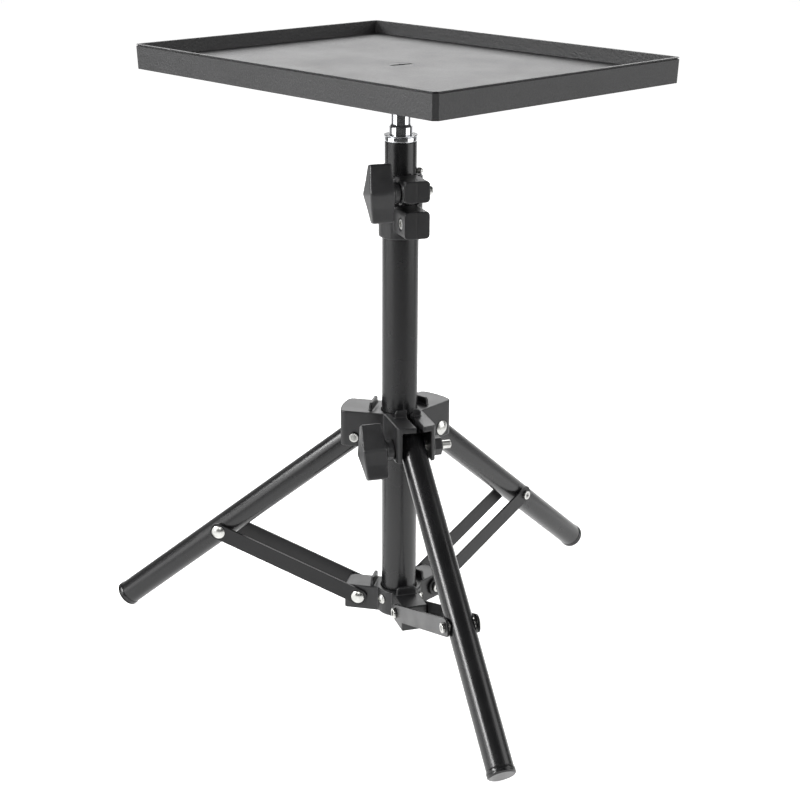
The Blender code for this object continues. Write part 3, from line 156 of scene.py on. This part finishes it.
# ABS with a textured outside (drawn at 1.8 mm so that it shows)
texturedAbs = grained("black_textured_abs", dict(
    dark="#1c1c1d", light="#242425", grain=1.8, drift=40,
    roughness=(0.50, 0.58), bump=1.0, depth=0.35, ior=1.53))
# blackened screw, as dull as the plastic round it
dullBlack = grained("dull_black_oxide", dict(
    dark="#1c1c1d", light="#222223", grain=0.6, drift=8,
    roughness=(0.50, 0.58), bump=0.3, depth=0.06, ior=1.53))
# knob plastic: the moulded nylon painted a little lighter than the castings, as painted light that lifts the
# knobs' facets where the lamps leave them too dark
knobNylonPaintedLight = grained("black_knob_nylon_painted_light", dict(
    dark="#262627", light="#2e2e2f", grain=0.6, drift=10,
    roughness=(0.34, 0.42), bump=0.10, depth=0.05, ior=1.50))
# bright chrome on a turned spigot
polishedChrome = grained("polished_chrome", dict(
    dark="#c4c5c8", light="#d2d3d5", grain=0.5, drift=12,
    roughness=(0.08, 0.13), bump=0.03, depth=0.02, metallic=1))
# bright zinc plate on rolled and cold-headed fasteners
brightZinc = grained("bright_zinc_plate", dict(
    dark="#acaca9", light="#c4c4c1", grain=0.5, drift=5,
    roughness=(0.24, 0.34), bump=0.10, depth=0.03, metallic=1))

slotMaterial = dict(
    black_paint=powderCoat, black_nylon=mouldedNylon, black_abs=texturedAbs,
    chrome=polishedChrome, zinc=brightZinc)
nodeSlot = {part["node"]: part["material_slot"] for part in frame["record"]["subparts"]}
nodeBody = {node: body for body, nodes in frame["record"]["behaviour"]["bodies"].items() for node in nodes}
for node, obj in frame["nodes"].items():
    obj.data.materials.clear()
    obj.data.materials.append(slotMaterial[nodeSlot[node]])
print("materials made")


# Shaping
def bevelEdges(bm, edges, width, segments, clamp=False):
    bmesh.ops.bevel(bm, geom=edges, offset=width * mm, segments=segments, profile=0.5,
                    affect="EDGES", material=-1, clamp_overlap=clamp)


def soften(bm, width, segments=3, sharp=28):  # rounds every edge that is sharper than an angle
    edges = [edge for edge in bm.edges
             if len(edge.link_faces) == 2 and edge.calc_face_angle(0) > math.radians(sharp)]
    bevelEdges(bm, edges, width, segments, clamp=True)


def spun(profile, steps=64, closed=False, edge=0.25):  # (radius, height) pairs, spun about Z
    bm = bmesh.new()
    verts = [bm.verts.new((radius * mm, 0, height * mm)) for radius, height in profile]
    lines = [bm.edges.new(pair) for pair in zip(verts, verts[1:])]
    if closed:
        lines.append(bm.edges.new((verts[-1], verts[0])))
    bmesh.ops.spin(bm, geom=verts + lines, axis=(0, 0, 1), cent=(0, 0, 0), dvec=(0, 0, 0),
                   angle=2 * math.pi, steps=steps, use_merge=True)
    bmesh.ops.remove_doubles(bm, verts=bm.verts, dist=0.001 * mm)
    bmesh.ops.recalc_face_normals(bm, faces=bm.faces)
    if edge:
        soften(bm, edge)
    return bm


def pipe(size):  # an open tube along Z
    outside, inside = size["od"] / 2, size["bore"] / 2
    return spun([(outside, size["high"]), (outside, size["low"]), (inside, size["low"]),
                 (inside, size["high"])], 96, True, size["edge"])


def block(length, width, height):  # a block round the origin
    bm = bmesh.new()
    bmesh.ops.create_cube(bm, size=1)
    bmesh.ops.scale(bm, verts=bm.verts, vec=(length * mm, width * mm, height * mm))
    return bm


def domed(radius, height, base, steps=8):  # a shallow dome's profile, from its top to its rim
    ball = (radius ** 2 + height ** 2) / (2 * height)
    rim = math.asin(radius / ball)
    return [(ball * math.sin(rim * k / steps), base + height - ball + ball * math.cos(rim * k / steps))
            for k in range(steps + 1)]


def sinkSocket(bm, height, width, depth):  # a hexagonal socket in the open ring at the top of a head
    ring = [edge for edge in bm.edges if edge.is_boundary]
    made = bmesh.ops.create_circle(bm, cap_ends=False, segments=6, radius=width / math.sqrt(3) * mm)
    bmesh.ops.translate(bm, verts=made["verts"], vec=(0, 0, height * mm))
    hexagon = list({edge for vert in made["verts"] for edge in vert.link_edges})
    bmesh.ops.bridge_loops(bm, edges=ring + hexagon)
    sunk = bmesh.ops.extrude_edge_only(bm, edges=hexagon)["geom"]
    lower = [item for item in sunk if isinstance(item, bmesh.types.BMVert)]
    bmesh.ops.translate(bm, verts=lower, vec=(0, 0, -depth * mm))
    bmesh.ops.contextual_create(bm, geom=[item for item in sunk if isinstance(item, bmesh.types.BMEdge)
                                          and all(vert in lower for vert in item.verts)])
    bmesh.ops.recalc_face_normals(bm, faces=bm.faces)


def casting(node, width=0):  # a CAD solid, with its sharp edges rounded where a width is given
    bm = bmesh.new()
    bm.from_mesh(frame["nodes"][node].data)
    bmesh.ops.remove_doubles(bm, verts=bm.verts, dist=0.002 * mm)
    if width:
        bmesh.ops.dissolve_limit(bm, angle_limit=math.radians(1), verts=bm.verts, edges=bm.edges)
        soften(bm, width, sharp=35)
    return bm


def combined(bm, others):  # one closed solid out of overlapping ones, each joined to it or cut from it
    solids = []
    for item in [bm] + [other for other, operation in others]:
        mesh = bpy.data.meshes.new("solid")
        item.to_mesh(mesh)
        item.free()
        solids.append(bpy.data.objects.new("solid", mesh))
        bpy.context.scene.collection.objects.link(solids[-1])
    for solid, (other, operation) in zip(solids[1:], others):
        boolean = solids[0].modifiers.new("Combine", "BOOLEAN")
        boolean.operation = operation
        boolean.solver = "EXACT"
        boolean.object = solid
    made = bpy.data.meshes.new_from_object(solids[0].evaluated_get(bpy.context.evaluated_depsgraph_get()))
    result = bmesh.new()
    result.from_mesh(made)
    for solid in solids:
        bpy.data.meshes.remove(solid.data)
    bpy.data.meshes.remove(made)
    bmesh.ops.dissolve_limit(result, angle_limit=math.radians(1), verts=result.verts, edges=result.edges)
    return result


def melt(obj, voxel, passes):  # rounds a moulded piece all over, its inner corners too
    obj.modifiers.clear()
    remesh = obj.modifiers.new("Even skin", "REMESH")
    remesh.mode = "VOXEL"
    remesh.voxel_size = voxel * mm
    remesh.use_smooth_shade = True
    smooth = obj.modifiers.new("Melt", "SMOOTH")
    smooth.factor = 0.5
    smooth.iterations = passes


def finishPiece(name, bm, place, node, material=None):
    bmesh.ops.transform(bm, matrix=place, verts=bm.verts)
    for face in bm.faces:
        face.smooth = True
    for edge in bm.edges:
        edge.smooth = edge.calc_face_angle(0) < math.radians(40)
    mesh = bpy.data.meshes.new(name)
    bm.to_mesh(mesh)
    bm.free()
    obj = bpy.data.objects.new(name, mesh)
    bpy.context.scene.collection.objects.link(obj)
    mesh.materials.append(material or slotMaterial[nodeSlot[node]])
    weighted = obj.modifiers.new("Flat faces", "WEIGHTED_NORMAL")
    weighted.keep_sharp = True
    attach(obj, nodeBody[node])
    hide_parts(node)
    return obj


# Column and mast
column = dict(od=25.4, bore=23.4, low=24.3, high=331.0, edge=0.3)
mast = dict(od=22.0, bore=19.6, low=74.9, high=369.9, edge=0.3)
finishPiece("columnTube", pipe(column), columnPlace, "outer_tube")
finishPiece("mastTube", pipe(mast), columnPlace, "inner_tube")

# Stop button in the mast's wall
stop = dict(z=349.8, turn=46, radius=2.2, dome=1.6, top=13.7, seat=11.3, stem=1.5, stemEnd=10.0, edge=0.15)
profile = domed(stop["radius"], stop["dome"], stop["top"]) + [
    (stop["radius"], stop["seat"]), (stop["stem"], stop["seat"]), (stop["stem"], stop["stemEnd"]),
    (0, stop["stemEnd"])]
stopPlace = columnPlace @ shift(0, 0, stop["z"]) @ turn(stop["turn"], "Z") @ alongX
finishPiece("mastStopButton", spun(profile, 32, edge=stop["edge"]), stopPlace, "mast_stop")

# Spigot, with the pressed ring that it sits in. Its widths are radii.
endRing = dict(od=22.3, bore=19.6, low=370.2, high=373.4, edge=0.5)
finishPiece("mastEndRing", pipe(endRing), columnPlace, "mast_end_ring")
spigot = dict(flange=11.6, flangeHeight=0.8, body=7.95, neck=6.55, stem=9.5, stemLength=26, bore=3.45,
              boreDepth=16, base=374.5, neckLow=381.5, neckHigh=393.0, taper=1.7, high=403.7, edge=0.3)
boreEnd = spigot["high"] - spigot["boreDepth"]
flangeLow = spigot["base"] - spigot["flangeHeight"]
stemEnd = flangeLow - spigot["stemLength"]
profile = [  # from the axis at the bore's end, over the top and down, to the axis again
    (0, boreEnd), (spigot["bore"], boreEnd), (spigot["bore"], spigot["high"]),
    (spigot["body"], spigot["high"]), (spigot["body"], spigot["neckHigh"] + spigot["taper"]),
    (spigot["neck"], spigot["neckHigh"]),
    (spigot["neck"], spigot["neckLow"]), (spigot["body"], spigot["neckLow"] - spigot["taper"]),
    (spigot["body"], spigot["base"]), (spigot["flange"], spigot["base"]), (spigot["flange"], flangeLow),
    (spigot["stem"], flangeLow), (spigot["stem"], stemEnd), (0, stemEnd)]
finishPiece("turnedSpigot", spun(profile, 96, edge=spigot["edge"]), columnPlace, "spigot")
print("column and mast done")

# Tray, with a boss and ribs underneath
tray = dict(length=290, width=224.5, low=413.5, high=430.1, wall=2.6, floorLow=418.2, floorHigh=420.8,
            draft=0.5, hollowDraft=0.275, underDraft=0.15, chamfer=2.7, rim=0.3, edge=0.4,
            recess=17.1, recessLow=418.6, bore=6.9)
boss = dict(od=30, low=404.0, ribs=8, ribOut=42, ribWidth=2.4, ribRise=1.9, ribEnd=1.0)
groove = dict(low=428.8, high=429.8, depth=1.2, taper=0.05)  # a fine groove under the rim


def deepen(bm, face, inset, z, narrow):  # sinks a face into the block to a height, a little narrower there
    bmesh.ops.inset_region(bm, faces=[face], thickness=inset * mm, use_even_offset=True)
    made = bmesh.ops.extrude_face_region(bm, geom=[face])["geom"]
    bmesh.ops.delete(bm, geom=[face], context="FACES_ONLY")
    sunk = [item for item in made if isinstance(item, bmesh.types.BMVert)]
    for vert in sunk:
        vert.co.z = z * mm
        vert.co.x -= math.copysign(narrow * mm, vert.co.x)
        vert.co.y -= math.copysign(narrow * mm, vert.co.y)


def facesOut(face, spot):  # whether a face at a spot looks away from the tray's axis
    return face.normal.dot(spot * Vector((1, 1, 0))) > 0


height = tray["high"] - tray["low"]
bm = block(tray["length"], tray["width"], height)
bmesh.ops.translate(bm, verts=bm.verts, vec=(0, 0, (tray["low"] + tray["high"]) / 2 * mm))
for vert in bm.verts:
    if vert.co.z < (tray["low"] + 1) * mm:
        vert.co.x -= math.copysign(tray["draft"] * mm, vert.co.x)
        vert.co.y -= math.copysign(tray["draft"] * mm, vert.co.y)
upright = [edge for edge in bm.edges if abs(edge.verts[0].co.z - edge.verts[1].co.z) > height / 2 * mm]
bevelEdges(bm, upright, tray["chamfer"], 1)
bm.normal_update()
topFace = max(bm.faces, key=lambda face: face.calc_center_median().z)
lowFace = min(bm.faces, key=lambda face: face.calc_center_median().z)
deepen(bm, topFace, tray["wall"], tray["floorHigh"], tray["hollowDraft"])
deepen(bm, lowFace, tray["wall"], tray["floorLow"], -tray["underDraft"])
bmesh.ops.recalc_face_normals(bm, faces=bm.faces)
into = (tray["floorLow"] + tray["floorHigh"]) / 2
bossEdge = boss["od"] / 2
bossProfile = [(0, into), (bossEdge, into), (bossEdge, boss["low"]), (0, boss["low"])]
additions = [(spun(bossProfile, 64, edge=0), "UNION")]
for k in range(boss["ribs"]):
    root = boss["od"] / 4
    rib = block(boss["ribOut"] - root, boss["ribWidth"], 1)
    bmesh.ops.translate(rib, verts=rib.verts, vec=((boss["ribOut"] + root) / 2 * mm, 0, 0))
    for vert in rib.verts:
        outer = vert.co.x > boss["od"] * mm
        lowest = tray["floorLow"] - boss["ribEnd"] if outer else boss["low"] + boss["ribRise"]
        vert.co.z = (into if vert.co.z > 0 else lowest) * mm
    bmesh.ops.rotate(rib, verts=rib.verts, cent=(0, 0, 0),
                     matrix=Matrix.Rotation(2 * math.pi * k / boss["ribs"], 3, "Z"))
    additions.append((rib, "UNION"))
bore, recess = tray["bore"] / 2, tray["recess"] / 2
above, below = tray["high"] + 10, boss["low"] - 4
additions.append((spun([(0, above), (recess, above), (recess, tray["recessLow"]), (bore, tray["recessLow"]),
                        (bore, below), (0, below)], 48, edge=0), "DIFFERENCE"))
bm = combined(bm, additions)
rim = [edge for edge in bm.edges if all(vert.co.z > (tray["high"] - 0.01) * mm for vert in edge.verts)
       and any(abs(face.normal.z) < 0.5 and facesOut(face, edge.verts[0].co) for face in edge.link_faces)]
bevelEdges(bm, rim, tray["rim"], 5)
soften(bm, tray["edge"], 2, 40)
for level in (groove["low"], groove["high"]):
    bmesh.ops.bisect_plane(bm, geom=bm.verts[:] + bm.edges[:] + bm.faces[:], plane_co=(0, 0, level * mm),
                           plane_no=(0, 0, 1))
bm.normal_update()
band = [face for face in bm.faces if groove["low"] < face.calc_center_median().z / mm < groove["high"]
        and facesOut(face, face.calc_center_median())]
bmesh.ops.inset_region(bm, faces=band, thickness=groove["taper"] * mm, depth=-groove["depth"] * mm,
                       use_even_offset=True)
finishPiece("tray_moulding", bm, columnPlace, "tray")

# Tray screw, sunk in the floor, with a slot and a socket
trayScrew = dict(head=17.0, shank=6.3, low=389.7, seat=418.9, top=420.7, turn=79, slot=3.6, slotDepth=1.2,
                 socket=5.0, socketDepth=1.4, edge=0.12)
head, shank = trayScrew["head"] / 2, trayScrew["shank"] / 2
slot = block(2 * trayScrew["head"], trayScrew["slot"], 2 * trayScrew["slotDepth"])
corner = trayScrew["socket"] / math.sqrt(3)
socket = bmesh.new()
bmesh.ops.create_cone(socket, cap_ends=True, segments=6, radius1=corner * mm, radius2=corner * mm,
                      depth=2 * trayScrew["socketDepth"] * mm)
for cutter in (slot, socket):
    bmesh.ops.transform(cutter, matrix=shift(0, 0, trayScrew["top"]) @ turn(trayScrew["turn"], "Z"),
                        verts=cutter.verts)
profile = [(0, trayScrew["top"]), (head, trayScrew["top"]), (head, trayScrew["seat"]),
           (shank, trayScrew["seat"]), (shank, trayScrew["low"]), (0, trayScrew["low"])]
bm = combined(spun(profile, 64, edge=0), [(slot, "DIFFERENCE"), (socket, "DIFFERENCE")])
soften(bm, trayScrew["edge"], 2, 40)
finishPiece("tray_fixing_screw", bm, columnPlace, "tray_screw", dullBlack)
print("tray done")

# Clamp, knobs and their bolts
clampSkin = dict(voxel=0.4, passes=18)
knobSkin = dict(voxel=0.36, passes=20)
knobBolt = dict(edge=0.2, beyond=10, longer=2.6)  # the upper one's end stands out of the clamp
melt(finishPiece("clamp_moulding", casting("upper_clamp"), here, "upper_clamp"), **clampSkin)
for which in ("upper", "lower"):
    knob = finishPiece(which + "_wing_knob", casting(which + "_knob"), here, which + "_knob", knobNylonPaintedLight)
    melt(knob, **knobSkin)
    bolt = casting(which + "_knob_bolt", knobBolt["edge"])
    if which == "upper":
        away = clampPlace.to_3x3() @ Vector((0, 1, 0))
        for vert in bolt.verts:
            if (vert.co - clampPlace.translation).dot(away) > knobBolt["beyond"] * mm:
                vert.co += away * knobBolt["longer"] * mm
    finishPiece(which + "_clamp_bolt", bolt, here, which + "_knob_bolt")
print("clamp and knobs done")

# Collar, hub and the plug under the hub
collarSkin = dict(voxel=0.5, passes=6)
hubSkin = dict(voxel=0.45, passes=10)
melt(finishPiece("collar_casting", casting("leg_collar"), here, "leg_collar"), **collarSkin)
melt(finishPiece("hub_casting", casting("lower_hub"), here, "lower_hub"), **hubSkin)
plug = dict(stem=8.7, flange=11, low=17.5, seat=19.9, high=23.3, edge=0.5)
profile = [(0, plug["high"]), (plug["stem"], plug["high"]), (plug["stem"], plug["seat"]),
           (plug["flange"], plug["seat"]), (plug["flange"], plug["low"]), (0, plug["low"])]
finishPiece("hub_end_plug", spun(profile, 64, edge=plug["edge"]), columnPlace, "bottom_plug")
print("collar and hub done")

# Legs, each with a plug at its hinge and a foot cap that shows a fine line near its end
leg = dict(od=18.4, bore=16.4, over=6.0, length=240.8, edge=0.25)
legEnd = dict(stem=20, flange=1.4, edge=0.4)
foot = dict(od=19.2, length=4.8, chamfer=0.95, ramp=1.0, stem=14, gap=0.1, line=1.6, lineWidth=0.7,
            lineDepth=0.5, edge=0.15)
outside, stem = leg["od"] / 2, leg["bore"] / 2 - gap
top, bottom = -leg["over"], leg["length"]
face = top - gap
endProfile = [(0, face + legEnd["stem"]), (stem, face + legEnd["stem"]), (stem, face), (outside, face),
              (outside, face - legEnd["flange"]), (0, face - legEnd["flange"])]
radius, lineRadius = foot["od"] / 2, foot["od"] / 2 - foot["lineDepth"]
lineLow = bottom - foot["line"]
lineHigh = lineLow - foot["lineWidth"]
shoulder = bottom - foot["length"] + foot["gap"]
footProfile = [(0, bottom), (radius - foot["chamfer"], bottom), (radius, bottom - foot["chamfer"]),
               (radius, lineLow), (lineRadius, lineLow), (lineRadius, lineHigh), (radius, lineHigh),
               (radius, shoulder + foot["ramp"]), (outside, shoulder), (stem, shoulder),
               (stem, shoulder - foot["stem"]), (0, shoulder - foot["stem"])]
for name in legNames:
    at = legPlace(name) @ alongX
    tube = pipe(dict(leg, low=top, high=bottom - foot["length"]))
    finishPiece(name + "_leg", tube, at, name + "_leg_tube")
    finishPiece(name + "_leg_end", spun(endProfile, 64, edge=legEnd["edge"]), at, name + "_leg_plug")
    finishPiece(name + "_foot", spun(footProfile, 96, edge=foot["edge"]), at, name + "_foot_cap", powderCoat)
print("legs done")

# Struts and pivots
bar = dict(width=12.3, thickness=1.6, inner=10.0, cornerShare=0.36, edge=0.25)
rivet = dict(domeOd=10.0)
screw = dict(headOd=6.8, socket=3.5)
hubPin = dict(domeOd=10.0, headOd=7.8, socket=4.2)
hingePin = dict(domeOd=11.0, headOd=6.6, socket=4.2, seat=14.6)
pinShape = dict(shank=3.0, headHeight=1.8, headChamfer=0.7, domeHeight=1.9, socketDepth=1.7, edge=0.3)


def flatBar():  # a flat bar with rounded ends, on its side along X
    bm = block(strutLength + bar["width"], bar["width"], bar["thickness"])
    bmesh.ops.translate(bm, verts=bm.verts, vec=(strutLength / 2 * mm, 0, 0))
    corners = [edge for edge in bm.edges
               if abs(edge.verts[0].co.z - edge.verts[1].co.z) > bar["thickness"] / 2 * mm]
    bevelEdges(bm, corners, bar["width"] * bar["cornerShare"], 12)
    bmesh.ops.remove_doubles(bm, verts=bm.verts, dist=0.01 * mm)
    soften(bm, bar["edge"], 2, 60)
    return bm


def headProfile(headOd, seat):  # a screw head's profile, from its shank to the ring round its socket
    radius, high = headOd / 2, seat + pinShape["headHeight"]
    return [(pinShape["shank"], seat), (radius, seat), (radius, high),
            (radius - pinShape["headChamfer"], high)]


def domeProfile(domeOd, seat):  # a domed head's profile, from its rim to its top
    return domed(domeOd / 2, pinShape["domeHeight"], seat)[::-1]


def addSocket(bm, seat, width):  # sinks a socket in the head at +Z
    sinkSocket(bm, seat + pinShape["headHeight"], width, pinShape["socketDepth"])


def headedPin(pin):  # a dome at +Z and a socket head at the other end
    seat, over = pin["seat"], Matrix.Rotation(math.pi, 3, "X")
    head = [(radius, -height) for radius, height in headProfile(pin["headOd"], seat)][::-1]
    bm = spun(head + [(pinShape["shank"], seat)] + domeProfile(pin["domeOd"], seat), 48, edge=pinShape["edge"])
    bmesh.ops.rotate(bm, verts=bm.verts, cent=(0, 0, 0), matrix=over)
    addSocket(bm, seat, pin["socket"])
    bmesh.ops.rotate(bm, verts=bm.verts, cent=(0, 0, 0), matrix=over)
    return bm


outer = bar["inner"] + bar["thickness"]
seat = outer + gap
pinStart = [(0, bar["inner"]), (pinShape["shank"], bar["inner"])]
for name in legNames:
    at = strutPlace(name)
    atPivot = at @ shift(strutLength, 0, 0)
    for suffix, side in (("a", 1), ("b", -1)):
        barPlace = at @ shift(0, side * (bar["inner"] + outer) / 2, 0) @ alongY
        finishPiece(name + "_bar_" + suffix, flatBar(), barPlace, name + "_strut_bar_" + suffix, barPaint)
    bm = spun(pinStart + [(pinShape["shank"], seat)] + domeProfile(rivet["domeOd"], seat), 48, edge=0)
    finishPiece(name + "_rivet", bm, atPivot @ alongY, name + "_strut_rivet")
    bm = spun(pinStart + headProfile(screw["headOd"], seat), 48, edge=pinShape["edge"])
    addSocket(bm, seat, screw["socket"])
    finishPiece(name + "_socket_screw", bm, atPivot @ againstY, name + "_strut_screw")
    bm = headedPin(dict(hubPin, seat=seat))
    hubPivot = armPlace(name) @ shift(layout["hubPivotRadius"], 0, hubZ)
    finishPiece(name + "_hub_pivot", bm, hubPivot @ alongY, name + "_hub_pin")
for name in ("right", "left"):
    hinge = armPlace(name) @ shift(layout["legHingeRadius"], 0, hingeZ)
    finishPiece(name + "_hinge_pivot", headedPin(hingePin), hinge @ againstY, name + "_hinge_pin")
print("struts and pivots done")

# Camera, at the photograph's angle
view = dict(distance=1071.803, height=564.473, aside=0.301, heading=46.252, down=19.521, roll=0.286,
            lens=71.764, sensor=36)
heading = turn(view["heading"], "Z")
cameraData = bpy.data.cameras.new("camera")
cameraData.sensor_width = view["sensor"]
cameraData.lens = view["lens"]
cameraData.clip_end = 20
camera = bpy.data.objects.new("camera", cameraData)
bpy.context.scene.collection.objects.link(camera)
camera.matrix_world = (columnPlace @ heading @ shift(view["aside"], -view["distance"], view["height"])
                       @ turn(90 - view["down"], "X") @ turn(view["roll"], "Z"))
bpy.context.scene.camera = camera


# Light: soft boxes on each side, one above and behind and a weak one in front, all aimed at the stand.
# A box's place is in mm to the camera's right, away from it and up, from the foot of the column.
def softBox(name, place, size, watts, aim=220):
    lamp = bpy.data.lights.new(name, "AREA")
    lamp.shape = "RECTANGLE"
    lamp.size, lamp.size_y = size[0] * mm, size[1] * mm
    lamp.energy = watts
    obj = bpy.data.objects.new(name, lamp)
    bpy.context.scene.collection.objects.link(obj)
    stands = (columnPlace @ heading @ shift(*place)).to_translation()
    away = columnPlace.to_translation() + Vector((0, 0, aim * mm)) - stands
    obj.matrix_world = Matrix.Translation(stands) @ away.to_track_quat("-Z", "Y").to_matrix().to_4x4()


softBox("leftBox", (-1462, -651, 320), (850, 1340), watts=10)
softBox("leftLow", (-1500, 60, -50), (320, 600), watts=2)
softBox("leftStrip", (-1245, -400, 860), (1000, 260), watts=22, aim=100)
softBox("rightBox", (1500, -400, 600), (1400, 1900), watts=24)
softBox("backBox", (0, 1500, 1300), (2200, 1200), watts=30, aim=400)
softBox("frontBox", (-250, -1700, 1250), (1000, 500), watts=8, aim=300)


def anyGloss(tree, rays):  # 1 for a ray that was mirrored or bent
    return addNode(tree, "ShaderNodeMath", {"operation": "MAXIMUM"}, links={
        0: (rays, "Is Glossy Ray"), 1: (rays, "Is Transmission Ray")})


def behindStand(tree, source, output):  # 1 for a direction straight behind the stand, -1 in front
    node = addNode(tree, "ShaderNodeVectorMath", {"operation": "DOT_PRODUCT"}, links={0: (source, output)})
    node.inputs[1].default_value = heading.to_3x3() @ Vector((0, 1, 0))
    return node


# World: white to the camera, nearly dark for plain light, and in gloss white behind the stand only
studio = dict(camera=1.0, plain=0.03, glossFront=0.07, glossBack=0.62, turnsFrom=0.3, turnsTo=0.9)
world = bpy.data.worlds.new("studio")
bpy.context.scene.world = world
world.use_nodes = True
tree = world.node_tree
background = tree.nodes["Background"]
background.inputs["Color"].default_value = (1, 1, 1, 1)
rays = addNode(tree, "ShaderNodeLightPath")
where = addNode(tree, "ShaderNodeTexCoord")
mirrored = addNode(tree, "ShaderNodeMapRange", {"clamp": True}, {
    "From Min": studio["turnsFrom"], "From Max": studio["turnsTo"],
    "To Min": studio["glossFront"], "To Max": studio["glossBack"]},
    {"Value": (behindStand(tree, where, "Generated"), "Value")})
lit = addNode(tree, "ShaderNodeMapRange", values={"To Min": studio["plain"]}, links={
    "Value": (anyGloss(tree, rays), "Value"), "To Max": (mirrored, "Result")})
strength = addNode(tree, "ShaderNodeMapRange", values={"To Max": studio["camera"]}, links={
    "Value": (rays, "Is Camera Ray"), "To Min": (lit, "Result")})
tree.links.new(strength.outputs["Result"], background.inputs["Strength"])

# Floor, a sheet of paper that runs far out behind the stand. It glows for the camera, a little more
# far out where the lamps reach less, and in gloss it glows only behind the stand and close by.
floor = dict(wide=2800, front=1300, back=6000, colour="#dedede", lift=0.88, farLift=1.0, near=500, far=1500,
             glossFrom=0.45, glossTo=0.9, closeGlow=1.2, closeFrom=250, closeTo=550)
bm = bmesh.new()
bmesh.ops.create_grid(bm, x_segments=1, y_segments=1, size=0.5)
bmesh.ops.scale(bm, verts=bm.verts, vec=(floor["wide"] * mm, (floor["front"] + floor["back"]) * mm, 1))
bmesh.ops.translate(bm, verts=bm.verts, vec=(0, (floor["back"] - floor["front"]) / 2 * mm, 0))
bmesh.ops.transform(bm, matrix=columnPlace @ heading, verts=bm.verts)
floorMesh = bpy.data.meshes.new("floor")
bm.to_mesh(floorMesh)
bm.free()
floorObj = bpy.data.objects.new("floor", floorMesh)
bpy.context.scene.collection.objects.link(floorObj)
paper = bpy.data.materials.new("white_paper_sweep")
paper.use_nodes = True
tree = paper.node_tree
shader = tree.nodes["Principled BSDF"]
shader.inputs["Base Color"].default_value = srgb(floor["colour"])
shader.inputs["Roughness"].default_value = 0.9
shader.inputs["Specular IOR Level"].default_value = 0.1
shader.inputs["Emission Color"].default_value = (1, 1, 1, 1)
rays = addNode(tree, "ShaderNodeLightPath")
where = addNode(tree, "ShaderNodeTexCoord")
away = addNode(tree, "ShaderNodeVectorMath", {"operation": "LENGTH"}, links={0: (where, "Object")})
lift = addNode(tree, "ShaderNodeMapRange", {"clamp": True}, {
    "From Min": floor["near"] * mm, "From Max": floor["far"] * mm, "To Min": floor["lift"],
    "To Max": floor["farLift"]}, {"Value": (away, "Value")})
spot = addNode(tree, "ShaderNodeVectorMath", {"operation": "NORMALIZE"}, links={0: (where, "Object")})
backward = addNode(tree, "ShaderNodeMapRange", {"clamp": True}, {
    "From Min": floor["glossFrom"], "From Max": floor["glossTo"]},
    {"Value": (behindStand(tree, spot, "Vector"), "Value")})
close = addNode(tree, "ShaderNodeMapRange", {"clamp": True}, {
    "From Min": floor["closeFrom"] * mm, "From Max": floor["closeTo"] * mm, "To Min": floor["closeGlow"],
    "To Max": 0.0}, {"Value": (away, "Value")})
mirrored = addNode(tree, "ShaderNodeMath", {"operation": "MAXIMUM"}, links={
    0: (backward, "Result"), 1: (close, "Result")})
shown = addNode(tree, "ShaderNodeMath", {"operation": "MULTIPLY"}, links={
    0: (anyGloss(tree, rays), "Value"), 1: (mirrored, "Value")})
seen = addNode(tree, "ShaderNodeMath", {"operation": "MAXIMUM"}, links={
    0: (rays, "Is Camera Ray"), 1: (shown, "Value")})
glow = addNode(tree, "ShaderNodeMath", {"operation": "MULTIPLY"}, links={
    0: (lift, "Result"), 1: (seen, "Value")})
tree.links.new(glow.outputs["Value"], shader.inputs["Emission Strength"])
floorMesh.materials.append(paper)

bpy.context.scene.view_settings.view_transform = "Standard"
print("scene done")
